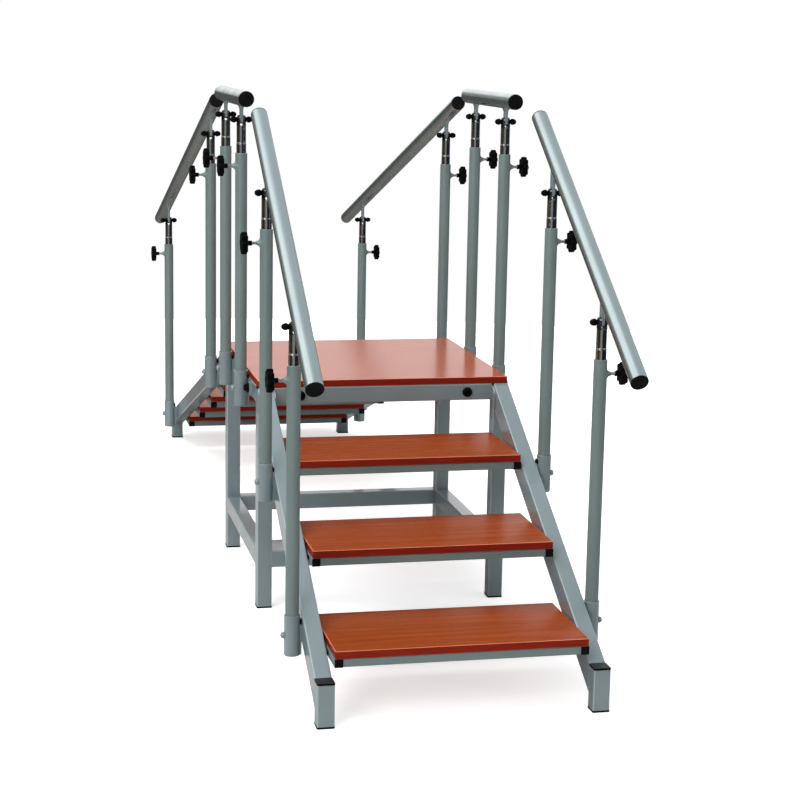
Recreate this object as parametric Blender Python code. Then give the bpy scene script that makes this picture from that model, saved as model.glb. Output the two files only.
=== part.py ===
"""Rehabilitation stairs: a raised platform with a steep flight in front and a shallow flight behind,
six handrails on telescoping posts. Metres, Z up, front towards -Y, origin on the floor below the
middle of the overall length. Lengths along Y are laid out from the middle of the platform and the
whole assembly is moved to that origin at the end."""

import math

import bmesh
import bpy
from mathutils import Matrix, Vector

# Overall sizes
STAIR_WIDTH = 0.680  # over the outer faces of the stringers and of the legs
PLATFORM_DEPTH = 0.670
FRAME_HEIGHT = 0.600  # top of the steel frame above the floor
BOARD_THICKNESS = 0.018
FRONT_TREADS = 3
REAR_TREADS = 5
FRONT_GOING = 0.300
REAR_GOING = 0.335
TREAD_DEPTH = 0.290
FIT = 0.0003  # clearance between pieces that touch

# Frame tubes
TUBE = 0.040
RAIL_HEIGHT = 0.045  # height of the level frame tubes
EDGE = 0.0018  # rounding of the tube corners
LOWER_RING_Z = 0.112
FRONT_BAR_DEPTH = 0.118
PAD = 0.003
PLUG = 0.005
FLANGE = 0.0006  # pads and caps stand out from the tube by this much
PAD_EDGE = 0.0008
CAP_EDGE = 0.0012
WELD = 0.0005  # tubes that cross are set in by this much
BOARD_SETBACK = 0.002  # board edge inside the outer face of the legs
BOARD_EDGE = 0.0012

# Flights
FRONT_STRINGER_DEPTH = 0.060
REAR_STRINGER_DEPTH = 0.050
FOOT_HEIGHT = 0.106
FRONT_FOOT_AHEAD = 0.030  # foot stands ahead of the lowest nosing by this much
REAR_FOOT_AHEAD = -0.060
EAR = 0.005
EAR_REACH = 0.026  # ear along the stringer, ahead of the platform's face
EAR_BELOW_TOP = 0.006
EAR_ABOVE_BOTTOM = 0.010
EAR_END_TOP = 0.004  # end of the ear below the frame's top
EAR_END_BOTTOM = 0.002  # end of the ear above the cross tube's underside
EAR_WELD_MARGIN = 0.004
EAR_WELD_HALF = 0.011
TREAD_TUBE = 0.020
TREAD_SIDE_GAP = 0.0025  # tread frame to stringer, filled by the black spacers
TREAD_END_GAP = 0.005  # tread board to stringer
TREAD_PLUG = 0.002
TREAD_PLUG_INSET = 0.001
SPACER_WIDTH = 0.012
SPACER_MARGIN = 0.004  # spacer inside the overlap of tread tube and stringer
SPACER_FROM_END = 0.030
COUPLING_X = 0.227
COUPLING_RADIUS = 0.005
COUPLING_HEAD_RADIUS = 0.0135
COUPLING_HEAD = 0.009
COUPLING_CROWN = 0.0012
COUPLING_SHOULDER = 0.0040
COUPLING_CROWN_SHARE = 0.70
COUPLING_TIP = 0.014  # end of the bolt short of the second tube's far face
COUPLING_HOLE_END = 0.010
COUPLING_HOLE_START = 0.030

# Posts
POST_RADIUS = 0.016
POST_WALL = 0.0025
POST_BORE = POST_RADIUS - POST_WALL
POST_LENGTH = 0.675
SOCKET_PLAY = 0.0004  # post to socket wall
SOCKET_WALL = 0.0021
SOCKET_RADIUS = POST_RADIUS + SOCKET_PLAY + SOCKET_WALL
SOCKET_LENGTH = 0.096
SOCKET_FLOOR = 0.004
SOCKET_GAP = 0.003  # frame to socket
SOCKET_LIP = 0.0035
SOCKET_FLARE = 0.0007
WEB_HALF = 0.0085  # plate between frame and socket
WEB_BELOW_TOP = 0.010
SCREW_RADIUS = 0.0078
SCREW_HEAD = 0.0045
SCREW_TIP_RADIUS = 0.0052
SCREW_LENGTH = 0.0090
WING = 0.004  # plate that carries a platform socket
WING_LENGTH = 0.042
WING_HALF = 0.019
DOME_RADIUS = 0.012
DOME_COLLAR = 0.0045
DOME_SHOULDER_RADIUS = 0.0095
DOME_SHOULDER = 0.0105
DOME_TIP_RADIUS = 0.0055
DOME_LENGTH = 0.0140
DOME_FROM_POST = 0.029
DOME_BELOW_MIDDLE = 0.002
BOSS_SINK = 0.0006
BOSS_SHOULDER = 0.004
BOSS_LENGTH = 0.009
HOLE_PLAY = 0.0004
SLIDE_PLAY = 0.0005
SLIDE_RADIUS = POST_BORE - SLIDE_PLAY
SLIDE_BELOW = 0.300  # inner tube inside the post
RING_DEPTH = 0.0007
RING_HALF = 0.001
PIN_ABOVE_POST = 0.088
PIN_RADIUS = 0.004
FORK_ABOVE_PIN = 0.012
FORK_BELOW_PIN = 0.019
FORK_PLAY = 0.0006
TONGUE = 0.008
TONGUE_WIDTH = 0.022
TONGUE_CORNERS = 5
NUT_LENGTH = 0.0200
NUT_RADIUS = 0.0085
NUT_DOME = 0.0095
NUT_TIP_SHARE = 0.50
NUT_SINK = 0.0008
NUT_TAPER = 0.0015
RING_BELOW_PIN = 0.062

# Clamp knobs
KNOB_BELOW_TOP = 0.034
BOSS_RADIUS = 0.0115
BOSS_WAIST_SHARE = 0.62
BOSS_TIP_SHARE = 0.52
STUD_RADIUS = 0.004
HUB_RADIUS = 0.0068
KNOB_RADIUS = 0.0275
KNOB_THICKNESS = 0.016
KNOB_LOBES = 8
KNOB_POINTS = 3  # points along each lobe
LOBE_SHARE = 0.11
KNOB_ROUND = 0.005
KNOB_FACE_SHARE = 0.85
HUB_FROM_POST = 0.020
HUB_LENGTH = 0.011
STUD_GAP = 0.0005

# Handrails
RAIL_RADIUS = 0.021
PLATFORM_POST_SPACING = 0.320
PLATFORM_PIN_ABOVE = 0.690  # pin above the frame
PLATFORM_RAIL_LENGTH = 0.518
PLATFORM_RAIL_RISE = 0.056  # pin to rail axis
FRONT_POSTS = (0.708, 0.282)  # lower and upper post, ahead of the platform
FRONT_PINS_ABOVE = (0.6630, 0.6905)  # pins above the stringer at each post
FRONT_RAIL_RISES = (0.083, 0.096)  # pin to rail axis at each post
FRONT_RAIL_ENDS = (0.984, 0.146)
REAR_POSTS = (1.457, 0.178)  # lower and upper post, behind the platform
REAR_PINS_ABOVE = (0.6950, 0.6738)
REAR_RAIL_RISES = (0.071, 0.062)
REAR_RAIL_ENDS = (1.785, 0.032)
RAIL_END_SHARE = 0.80
RAIL_END = 0.003
TONGUE_SINK_SHARE = 0.3

# Facets of the round pieces
POST_FACETS = 12
SLIDE_FACETS = 12
SOCKET_FACETS = 12
SMALL_FACETS = 8
PIN_FACETS = 6
BOLT_FACETS = 8
COUPLING_FACETS = 12
RAIL_FACETS = 16

HALF = STAIR_WIDTH / 2
INNER = HALF - TUBE
FRONT = -PLATFORM_DEPTH / 2
REAR = PLATFORM_DEPTH / 2
FRAME_TOP = FRAME_HEIGHT - FIT
POST_X = HALF + SOCKET_GAP + SOCKET_RADIUS
PLATFORM_PIN_Z = FRAME_HEIGHT + PLATFORM_PIN_ABOVE
OVERLAP = 0.001
CUTTER_END = 0.010  # cutting solids reach past the face by this much
LONG_EDGE = 0.120  # edges longer than this are rounded on a stringer
FLAT_ANGLE = 0.0005  # faces that meet at less than this, in radians, are one flat face


def clear_scene():
    for item in list(bpy.data.objects):
        bpy.data.objects.remove(item, do_unlink=True)


def material(name, colour, roughness, metallic=0.0):
    found = bpy.data.materials.get(name)
    if found is not None:
        return found
    made = bpy.data.materials.new(name)
    made.use_nodes = True
    shader = made.node_tree.nodes["Principled BSDF"]
    shader.inputs["Base Color"].default_value = (*colour, 1.0)
    shader.inputs["Roughness"].default_value = roughness
    shader.inputs["Metallic"].default_value = metallic
    made.diffuse_color = (*colour, 1.0)
    return made


def as_object(name, mesh_builder):
    mesh = bpy.data.meshes.new(name)
    bmesh.ops.recalc_face_normals(mesh_builder, faces=mesh_builder.faces)
    mesh_builder.to_mesh(mesh)
    mesh_builder.free()
    made = bpy.data.objects.new(name, mesh)
    bpy.context.scene.collection.objects.link(made)
    return made


def block(low, high, edge=0.0, along=None):
    """A box between two corners; `edge` takes off the corners that run along one axis, or all of them."""
    build = bmesh.new()
    bmesh.ops.create_cube(build, size=1.0)
    low, high = Vector(low), Vector(high)
    size = high - low
    bmesh.ops.scale(build, vec=size, verts=build.verts)
    bmesh.ops.translate(build, vec=(low + high) / 2, verts=build.verts)
    if edge > 0:
        chosen = [
            e for e in build.edges
            if along is None or abs((e.verts[0].co - e.verts[1].co)[along]) > size[along] / 2
        ]
        bmesh.ops.bevel(build, geom=chosen, offset=edge, segments=1, profile=0.5, affect="EDGES")
    return as_object("block", build)


def capped_bar(low, high, plug, inset):
    """A square bar along Y whose two ends carry a smaller plug that stands out by `plug`."""
    build = bmesh.new()
    rings = []
    for y, shrink in ((low[1] - plug, inset), (low[1], inset), (low[1], 0.0), (high[1], 0.0),
                      (high[1], inset), (high[1] + plug, inset)):
        corners = (
            (low[0] + shrink, low[2] + shrink), (high[0] - shrink, low[2] + shrink),
            (high[0] - shrink, high[2] - shrink), (low[0] + shrink, high[2] - shrink),
        )
        rings.append([build.verts.new((x, y, z)) for x, z in corners])
    for near, far in zip(rings, rings[1:]):
        for i in range(4):
            j = (i + 1) % 4
            build.faces.new((near[i], near[j], far[j], far[i]))
    build.faces.new(list(reversed(rings[0])))
    build.faces.new(rings[-1])
    return as_object("capped_bar", build)


def prism(points, low_x, high_x, edge=0.0):
    """A flat outline in Y and Z, given thickness along X."""
    build = bmesh.new()
    rings = [[build.verts.new((x, y, z)) for y, z in points] for x in (low_x, high_x)]
    build.faces.new(rings[0])
    build.faces.new(list(reversed(rings[1])))
    count = len(points)
    for i in range(count):
        j = (i + 1) % count
        build.faces.new((rings[0][i], rings[0][j], rings[1][j], rings[1][i]))
    if edge > 0:
        build.edges.ensure_lookup_table()
        chosen = []
        for e in build.edges:
            span = e.verts[0].co - e.verts[1].co
            if abs(span.x) < 1e-9 and span.length > LONG_EDGE:
                chosen.append(e)
        bmesh.ops.bevel(build, geom=chosen, offset=edge, segments=1, profile=0.5, affect="EDGES")
    return as_object("prism", build)


def turned(profile, facets, place=Matrix.Identity(4)):
    """A round piece from (radius, height) pairs, closed at both ends, placed by a matrix."""
    build = bmesh.new()
    rings = []
    for radius, height in profile:
        if radius <= 0:
            rings.append([build.verts.new((0, 0, height))])
            continue
        ring = []
        for i in range(facets):
            turn = 2 * math.pi * (i + 0.37) / facets
            ring.append(build.verts.new((radius * math.cos(turn), radius * math.sin(turn), height)))
        rings.append(ring)
    for near, far in zip(rings, rings[1:]):
        for i in range(facets):
            j = (i + 1) % facets
            if len(near) == 1 and len(far) > 1:
                build.faces.new((near[0], far[i], far[j]))
            elif len(far) == 1 and len(near) > 1:
                build.faces.new((near[i], near[j], far[0]))
            elif len(near) > 1:
                build.faces.new((near[i], near[j], far[j], far[i]))
    for ring, flip in ((rings[0], True), (rings[-1], False)):
        if len(ring) > 1:
            build.faces.new(list(reversed(ring)) if flip else ring)
    bmesh.ops.transform(build, matrix=place, verts=build.verts)
    return as_object("turned", build)


def upright(x, y, z=0.0):
    return Matrix.Translation((x, y, z))


def sideways(x, y, z, side):
    """Heights of the profile run along X, outwards on the given side."""
    return Matrix.Translation((x, y, z)) @ Matrix.Rotation(side * math.pi / 2, 4, "Y")


def lengthways(x, y, z, way):
    """Heights of the profile run along Y, towards `way` (+1 back, -1 front)."""
    return Matrix.Translation((x, y, z)) @ Matrix.Rotation(-way * math.pi / 2, 4, "X")


def gathered(pieces):
    """Separate solids that do not touch each other, as one operand."""
    build = bmesh.new()
    for piece in pieces:
        build.from_mesh(piece.data)
        bpy.data.objects.remove(piece, do_unlink=True)
    mesh = bpy.data.meshes.new("gathered")
    build.to_mesh(mesh)
    build.free()
    made = bpy.data.objects.new("gathered", mesh)
    bpy.context.scene.collection.objects.link(made)
    return made


def combined(base, other, operation):
    step = base.modifiers.new("step", "BOOLEAN")
    step.operation = operation
    step.solver = "EXACT"
    step.object = other
    graph = bpy.context.evaluated_depsgraph_get()
    mesh = bpy.data.meshes.new_from_object(base.evaluated_get(graph))
    base.modifiers.clear()
    base.data = mesh
    bpy.data.objects.remove(other, do_unlink=True)
    return base


def joined(base, *groups):
    for group in groups:
        other = gathered(group) if isinstance(group, (list, tuple)) else group
        base = combined(base, other, "UNION")
    return base


def cut(base, *groups):
    for group in groups:
        other = gathered(group) if isinstance(group, (list, tuple)) else group
        base = combined(base, other, "DIFFERENCE")
    return base


def finished(piece, name, paint, origin=(0.0, 0.0, 0.0)):
    """Gives the piece its name, material, origin and smooth round faces."""
    build = bmesh.new()
    build.from_mesh(piece.data)
    bmesh.ops.dissolve_degenerate(build, dist=1e-6, edges=build.edges)
    bmesh.ops.dissolve_limit(build, angle_limit=FLAT_ANGLE, verts=build.verts, edges=build.edges)
    bmesh.ops.translate(build, vec=-Vector(origin), verts=build.verts)
    bmesh.ops.triangulate(build, faces=build.faces)
    build.to_mesh(piece.data)
    build.free()
    piece.location = origin
    piece.name = name
    piece.data.name = name
    piece.data.materials.clear()
    piece.data.materials.append(paint)
    piece.data.polygons.foreach_set("use_smooth", [True] * len(piece.data.polygons))
    piece.data.set_sharp_from_angle(angle=math.radians(32))
    return piece


class Flight:
    """One straight flight, `way` -1 in front of the platform and +1 behind it."""

    def __init__(self, way, treads, going, depth, ahead, posts, pins_above, rail_rises, rail_ends):
        self.way = way
        self.treads = treads
        self.going = going
        self.rise = FRAME_HEIGHT / (treads + 1)
        self.face = way * PLATFORM_DEPTH / 2
        self.foot_outer = treads * going + ahead
        self.foot_inner = self.foot_outer - TUBE
        self.slope = (FRAME_HEIGHT - FOOT_HEIGHT) / self.foot_inner
        self.drop = depth * math.hypot(1.0, self.slope)
        self.posts = posts
        self.pins_z = [self.top(out) + above for out, above in zip(posts, pins_above)]
        self.rail_rises = rail_rises
        self.rail_ends = rail_ends

    def y(self, out):
        """Position of a point `out` metres away from the platform."""
        return self.face + self.way * out

    def top(self, out):
        """Height of the stringer's upper face."""
        return FRAME_HEIGHT - self.slope * out

    def rail_axis(self, out):
        """Height of the handrail's axis."""
        low, high = [pin + rise for pin, rise in zip(self.pins_z, self.rail_rises)]
        climb = (high - low) / (self.posts[0] - self.posts[1])
        return low + climb * (self.posts[0] - out)

    def span(self, near, far):
        a, b = self.y(near), self.y(far)
        return min(a, b), max(a, b)

    def nosing(self, step):
        return step * self.going

    def board_bottom(self, step):
        return FRAME_HEIGHT - step * self.rise


def stringer(flight, side):
    ends = (FIT, flight.foot_inner + OVERLAP)
    outline = []
    for out, lower in ((ends[0], True), (ends[1], True), (ends[1], False), (ends[0], False)):
        height = flight.top(out) - (flight.drop if lower else 0.0)
        outline.append((flight.y(out), min(height, FRAME_TOP)))
    low, high = sorted((side * INNER, side * HALF))
    return prism(outline, low, high, EDGE)


def foot_post(flight, side):
    """Upright end of a stringer, closed above and below by plastic."""
    low, high = sorted((side * INNER, side * HALF))
    near, far = flight.span(flight.foot_inner, flight.foot_outer)
    post = block((low, near, PAD - OVERLAP), (high, far, FOOT_HEIGHT - PLUG + OVERLAP), EDGE, 2)
    low, near, high, far = low - FLANGE, near - FLANGE, high + FLANGE, far + FLANGE
    pad = block((low, near, 0.0), (high, far, PAD), PAD_EDGE)
    cap = block((low, near, FOOT_HEIGHT - PLUG), (high, far, FOOT_HEIGHT), CAP_EDGE)
    return post, pad, cap


def ear(flight, side):
    """Flat plate that carries the cross tube between the platform legs."""
    low, high = sorted((side * (INNER - EAR - FIT), side * (INNER - FIT)))
    inside = FIT + OVERLAP
    end_bottom = FRAME_HEIGHT - RAIL_HEIGHT + EAR_END_BOTTOM
    outline = [
        (flight.y(EAR_REACH), flight.top(EAR_REACH) - flight.drop + EAR_ABOVE_BOTTOM),
        (flight.y(EAR_REACH), flight.top(EAR_REACH) - EAR_BELOW_TOP),
        (flight.y(inside), flight.top(inside) - EAR_BELOW_TOP),
        (flight.y(-TUBE + FIT), FRAME_TOP - EAR_END_TOP),
        (flight.y(-TUBE + FIT), end_bottom),
        (flight.y(inside), end_bottom),
    ]
    plate = prism(outline, low, high)
    weld_low, weld_high = sorted((side * (INNER - EAR), side * (INNER + OVERLAP)))
    near, far = flight.span(EAR_WELD_MARGIN, EAR_REACH - EAR_WELD_MARGIN)
    middle = flight.top(EAR_REACH / 2) - flight.drop / 2
    weld = block((weld_low, near, middle - EAR_WELD_HALF), (weld_high, far, middle + EAR_WELD_HALF))
    return plate, weld


def tread_pieces(flight, step):
    """Side tubes with plugged ends, cross tubes and spacers under one tread board."""
    top = flight.board_bottom(step) - FIT
    low_z = top - TREAD_TUBE
    outer = INNER - TREAD_SIDE_GAP
    inner = outer - TREAD_TUBE
    nose = flight.nosing(step) - TREAD_PLUG
    back = flight.nosing(step) - TREAD_DEPTH + TREAD_PLUG
    near, far = flight.span(back, nose)
    sides, crosses, spacers = [], [], []
    for side in (-1, 1):
        low, high = sorted((side * inner, side * outer))
        sides.append(capped_bar((low, near, low_z), (high, far, top), TREAD_PLUG, TREAD_PLUG_INSET))
    for out in (nose - WELD, back + WELD + TREAD_TUBE):
        a, b = flight.span(out - TREAD_TUBE, out)
        crosses.append(block((-inner - OVERLAP, a, low_z + WELD), (inner + OVERLAP, b, top - WELD)))
    middle = low_z + TREAD_TUBE / 2
    half = SPACER_WIDTH / 2
    reach = half + OVERLAP
    gap_start = (middle + reach - flight.top(flight.nosing(step))) / flight.slope
    gap_end = (middle - reach - flight.top(flight.nosing(step)) + flight.drop) / flight.slope
    first = max(gap_start + SPACER_MARGIN, SPACER_FROM_END)
    last = min(gap_end - SPACER_MARGIN, TREAD_DEPTH - SPACER_FROM_END)
    for side in (-1, 1):
        low, high = sorted((side * (outer - OVERLAP), side * (INNER + OVERLAP)))
        for behind in (first, last):
            y = flight.y(flight.nosing(step) - behind)
            spacers.append(block((low, y - half, middle - half), (high, y + half, middle + half)))
    return sides, crosses, spacers


def socket_pieces(side, y, bottom, face_x):
    """Post socket: round cup, the plate that holds it off the frame, clamp screw and bore."""
    x = side * POST_X
    top = bottom + SOCKET_LENGTH
    cup = turned(
        [(SOCKET_RADIUS, bottom), (SOCKET_RADIUS, top - SOCKET_LIP), (SOCKET_RADIUS + SOCKET_FLARE, top)],
        SOCKET_FACETS,
        upright(x, y),
    )
    low, high = sorted((side * (face_x - OVERLAP), side * (POST_X - POST_RADIUS - SOCKET_WALL / 2)))
    plate = block(
        (low, y - WEB_HALF, bottom + FLANGE), (high, y + WEB_HALF, top - WEB_BELOW_TOP)
    )
    middle = (bottom + top) / 2
    screw = turned(
        [
            (SCREW_RADIUS, SOCKET_RADIUS - OVERLAP),
            (SCREW_RADIUS, SOCKET_RADIUS + SCREW_HEAD),
            (SCREW_TIP_RADIUS, SOCKET_RADIUS + SCREW_LENGTH),
        ],
        SMALL_FACETS,
        sideways(x, y, middle, side),
    )
    bore = turned(
        [(POST_RADIUS + SOCKET_PLAY, bottom + SOCKET_FLOOR), (POST_RADIUS + SOCKET_PLAY, top + CUTTER_END)],
        SOCKET_FACETS,
        upright(x, y),
    )
    return cup, plate, screw, bore


def dome_bolt(side, y, z, face_x):
    """Black domed bolt that holds a socket plate to the platform."""
    profile = [
        (DOME_RADIUS, -OVERLAP),
        (DOME_RADIUS, DOME_COLLAR),
        (DOME_SHOULDER_RADIUS, DOME_SHOULDER),
        (DOME_TIP_RADIUS, DOME_LENGTH),
    ]
    return turned(profile, BOLT_FACETS, sideways(side * face_x, y, z, side))


def flight_frame(flight, name, paint):
    left, right = stringer(flight, -1), stringer(flight, 1)
    frame = gathered([left, right])
    posts, pads, caps, plates, welds = [], [], [], [], []
    for side in (-1, 1):
        post, pad, cap = foot_post(flight, side)
        posts.append(post)
        pads.append(pad)
        caps.append(cap)
        plate, weld = ear(flight, side)
        plates.append(plate)
        welds.append(weld)
    frame = joined(frame, posts, pads, caps, plates, welds)

    near, far = flight.span(-TUBE + FIT, -FIT)
    apron_x = INNER - EAR - FIT + OVERLAP
    apron = block(
        (-apron_x, near, FRAME_HEIGHT - RAIL_HEIGHT), (apron_x, far, FRAME_TOP), EDGE, 0
    )
    frame = joined(frame, apron)

    cups, plates, screws, bores = [], [], [], []
    for out, pin in zip(flight.posts, flight.pins_z):
        for side in (-1, 1):
            bottom = pin - PIN_ABOVE_POST - POST_LENGTH - SOCKET_FLOOR - FIT
            parts = socket_pieces(side, flight.y(out), bottom, HALF)
            cups.append(parts[0])
            plates.append(parts[1])
            screws.append(parts[2])
            bores.append(parts[3])
    frame = joined(frame, plates, cups, screws)

    sides, crosses, tread_spacers = [], [], []
    for step in range(1, flight.treads + 1):
        parts = tread_pieces(flight, step)
        sides.extend(parts[0])
        crosses.extend(parts[1])
        tread_spacers.extend(parts[2])
    frame = joined(frame, tread_spacers, sides, crosses)

    holes = []
    for side in (-1, 1):
        place = lengthways(side * COUPLING_X, 0.0, FRAME_HEIGHT - RAIL_HEIGHT / 2, 1)
        reach = sorted((flight.y(COUPLING_HOLE_START), flight.y(-TUBE - COUPLING_HOLE_START)))
        radius = COUPLING_RADIUS + FIT
        holes.append(turned([(radius, reach[0]), (radius, reach[1])], COUPLING_FACETS, place))
    frame = cut(frame, bores, holes)
    return finished(frame, name, paint)


def platform_frame(paint, flights):
    legs, pads, plugs = [], [], []
    for side in (-1, 1):
        low, high = sorted((side * INNER, side * HALF))
        for near in (FRONT, REAR - TUBE):
            far = near + TUBE
            leg_top = FRAME_HEIGHT - PLUG + OVERLAP
            legs.append(block((low, near, PAD - OVERLAP), (high, far, leg_top), EDGE, 2))
            pads.append(
                block((low - FLANGE, near - FLANGE, 0.0), (high + FLANGE, far + FLANGE, PAD), PAD_EDGE)
            )
            low_plug, high_plug = sorted((side * INNER, side * (HALF + FLANGE)))
            plugs.append(block((low_plug, near, FRAME_HEIGHT - PLUG), (high_plug, far, FRAME_TOP)))
    frame = gathered(legs)
    near, far = FRONT + TUBE - OVERLAP, REAR - TUBE + OVERLAP
    inner = INNER + OVERLAP
    ring_top = LOWER_RING_Z + RAIL_HEIGHT
    upper_sides, lower_sides = [], []
    for side in (-1, 1):
        low, high = sorted((side * INNER, side * HALF))
        upper_sides.append(
            block((low, near, FRAME_HEIGHT - RAIL_HEIGHT), (high, far, FRAME_TOP))
        )
        lower_sides.append(block((low, near, LOWER_RING_Z), (high, far, ring_top)))
    frame = joined(frame, pads, plugs, upper_sides, lower_sides)

    low_z, high_z = FRAME_HEIGHT - RAIL_HEIGHT, FRAME_TOP
    crosses = []
    for start in (FRONT + TUBE + FIT, -TUBE / 2, REAR - 2 * TUBE - FIT):
        crosses.append(block((-inner, start, low_z), (inner, start + TUBE, high_z)))
    bars = [
        block((-inner, FRONT, LOWER_RING_Z), (inner, FRONT + FRONT_BAR_DEPTH, ring_top)),
        block((-inner, REAR - TUBE, LOWER_RING_Z), (inner, REAR, ring_top)),
    ]
    frame = joined(frame, crosses, bars)

    cups, plates, screws, bores, wings, bolts, holes = [], [], [], [], [], [], []
    bottom = PLATFORM_PIN_Z - PIN_ABOVE_POST - POST_LENGTH - SOCKET_FLOOR - FIT
    for side in (-1, 1):
        for end in (-1, 1):
            y = end * PLATFORM_POST_SPACING / 2
            parts = socket_pieces(side, y, bottom, HALF)
            cups.append(parts[0])
            plates.append(parts[1])
            screws.append(parts[2])
            bores.append(parts[3])
            low, high = sorted((side * (HALF - OVERLAP), side * (HALF + WING)))
            a, b = sorted((y, y + end * WING_LENGTH))
            middle = FRAME_HEIGHT - RAIL_HEIGHT / 2 - DOME_BELOW_MIDDLE
            wings.append(block((low, a, middle - WING_HALF), (high, b, middle + WING_HALF)))
            bolts.append(dome_bolt(side, y + end * DOME_FROM_POST, middle, HALF + WING))
    frame = joined(frame, plates, cups, wings, screws, bolts)
    for flight in flights:
        for side in (-1, 1):
            place = lengthways(side * COUPLING_X, 0.0, FRAME_HEIGHT - RAIL_HEIGHT / 2, 1)
            reach = sorted((flight.y(-TUBE + CUTTER_END), flight.y(-2 * TUBE + COUPLING_HOLE_END)))
            radius = COUPLING_RADIUS + FIT
            holes.append(turned([(radius, reach[0]), (radius, reach[1])], COUPLING_FACETS, place))
    frame = cut(frame, bores, holes)
    return finished(frame, "platform_frame", paint)


def board(name, low_y, high_y, half_width, bottom, paint):
    top = bottom + BOARD_THICKNESS
    piece = block((-half_width, low_y, bottom), (half_width, high_y, top), BOARD_EDGE)
    return finished(piece, name, paint)


def coupling_bolt(flight, side, name, paint):
    """Round-headed bolt through the flight's cross tube into the platform."""
    profile = [
        (0.0, -COUPLING_HEAD),
        (COUPLING_HEAD_RADIUS * COUPLING_CROWN_SHARE, -COUPLING_HEAD + COUPLING_CROWN),
        (COUPLING_HEAD_RADIUS, -COUPLING_SHOULDER),
        (COUPLING_HEAD_RADIUS, -FIT),
        (COUPLING_RADIUS, -FIT),
        (COUPLING_RADIUS, 2 * TUBE - COUPLING_TIP),
    ]
    middle = FRAME_HEIGHT - RAIL_HEIGHT / 2
    face = flight.y(-FIT)
    piece = turned(profile, COUPLING_FACETS, lengthways(side * COUPLING_X, face, middle, -flight.way))
    return finished(piece, name, paint)


def post(name, side, y, top, paint):
    """Outer tube with the welded boss that takes the clamp stud."""
    x = side * POST_X
    bottom = top - POST_LENGTH
    tube = turned(
        [(POST_RADIUS, bottom), (POST_RADIUS, top)],
        POST_FACETS,
        upright(x, y),
    )
    height = top - KNOB_BELOW_TOP
    boss = turned(
        [
            (BOSS_RADIUS, POST_BORE + BOSS_SINK),
            (BOSS_RADIUS * BOSS_WAIST_SHARE, POST_RADIUS + BOSS_SHOULDER),
            (BOSS_RADIUS * BOSS_TIP_SHARE, POST_RADIUS + BOSS_LENGTH),
        ],
        BOLT_FACETS,
        sideways(x, y, height, side),
    )
    tube = joined(tube, boss)
    bore = turned(
        [(POST_BORE, bottom - CUTTER_END), (POST_BORE, top + CUTTER_END)], POST_FACETS, upright(x, y)
    )
    hole_radius = STUD_RADIUS + HOLE_PLAY
    hole = turned(
        [(hole_radius, 0.0), (hole_radius, POST_RADIUS + BOSS_LENGTH + CUTTER_END)],
        SMALL_FACETS,
        sideways(x, y, height, side),
    )
    tube = cut(tube, bore, hole)
    return finished(tube, name, paint)


def slide_tube(name, side, y, pin, paint):
    """Inner tube: ring groove, forked top, cross pin and two domed nuts."""
    x = side * POST_X
    low = pin - PIN_ABOVE_POST - SLIDE_BELOW
    ring = pin - RING_BELOW_PIN
    tube = turned(
        [
            (SLIDE_RADIUS, low),
            (SLIDE_RADIUS, ring - RING_HALF),
            (SLIDE_RADIUS - RING_DEPTH, ring),
            (SLIDE_RADIUS, ring + RING_HALF),
            (SLIDE_RADIUS, pin + FORK_ABOVE_PIN),
        ],
        SLIDE_FACETS,
        upright(x, y),
    )
    half = TONGUE / 2 + FORK_PLAY
    across = SLIDE_RADIUS + CUTTER_END
    slot = block(
        (x - half, y - across, pin - FORK_BELOW_PIN),
        (x + half, y + across, pin + FORK_ABOVE_PIN + CUTTER_END),
    )
    tube = cut(tube, slot)
    start = SLIDE_RADIUS - NUT_SINK
    reach = start + NUT_LENGTH
    bolt = turned(
        [
            (NUT_RADIUS * NUT_TIP_SHARE, -reach),
            (NUT_RADIUS, -reach + NUT_DOME),
            (NUT_RADIUS, -start),
            (PIN_RADIUS, -start + NUT_TAPER),
            (PIN_RADIUS, start - NUT_TAPER),
            (NUT_RADIUS, start),
            (NUT_RADIUS, reach - NUT_DOME),
            (NUT_RADIUS * NUT_TIP_SHARE, reach),
        ],
        PIN_FACETS,
        sideways(x, y, pin, 1),
    )
    tube = joined(tube, bolt)
    return finished(tube, name, paint, (x, y, pin))


def knob(name, side, y, height, paint):
    """Lobed clamp knob with its hub and stud, turning about the stud."""
    build = bmesh.new()
    hub_start = POST_RADIUS + HUB_FROM_POST
    disc_start = hub_start + HUB_LENGTH
    disc_end = disc_start + KNOB_THICKNESS
    count = KNOB_LOBES * KNOB_POINTS

    def ring(radius, height_out):
        made = []
        for i in range(count):
            turn = 2 * math.pi * i / count
            wave = 1.0 + LOBE_SHARE * math.cos(KNOB_LOBES * turn)
            made.append(
                build.verts.new((radius * wave * math.cos(turn), radius * wave * math.sin(turn), height_out))
            )
        return made

    big = KNOB_RADIUS / (1.0 + LOBE_SHARE)
    rings = [
        ring(big, disc_start),
        ring(big, disc_end - KNOB_ROUND),
        ring(big * KNOB_FACE_SHARE, disc_end),
    ]
    for near, far in zip(rings, rings[1:]):
        for i in range(count):
            j = (i + 1) % count
            build.faces.new((near[i], near[j], far[j], far[i]))
    build.faces.new(list(reversed(rings[0])))
    build.faces.new(rings[-1])
    place = sideways(side * POST_X, y, height, side)
    bmesh.ops.transform(build, matrix=place, verts=build.verts)
    grip = as_object("grip", build)
    tip = SLIDE_RADIUS + STUD_GAP
    hub = turned(
        [
            (STUD_RADIUS, tip),
            (STUD_RADIUS, hub_start),
            (HUB_RADIUS, hub_start),
            (HUB_RADIUS, disc_start + OVERLAP),
        ],
        SMALL_FACETS,
        place,
    )
    grip = joined(grip, hub)
    return finished(grip, name, paint, (side * POST_X, y, height))


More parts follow.
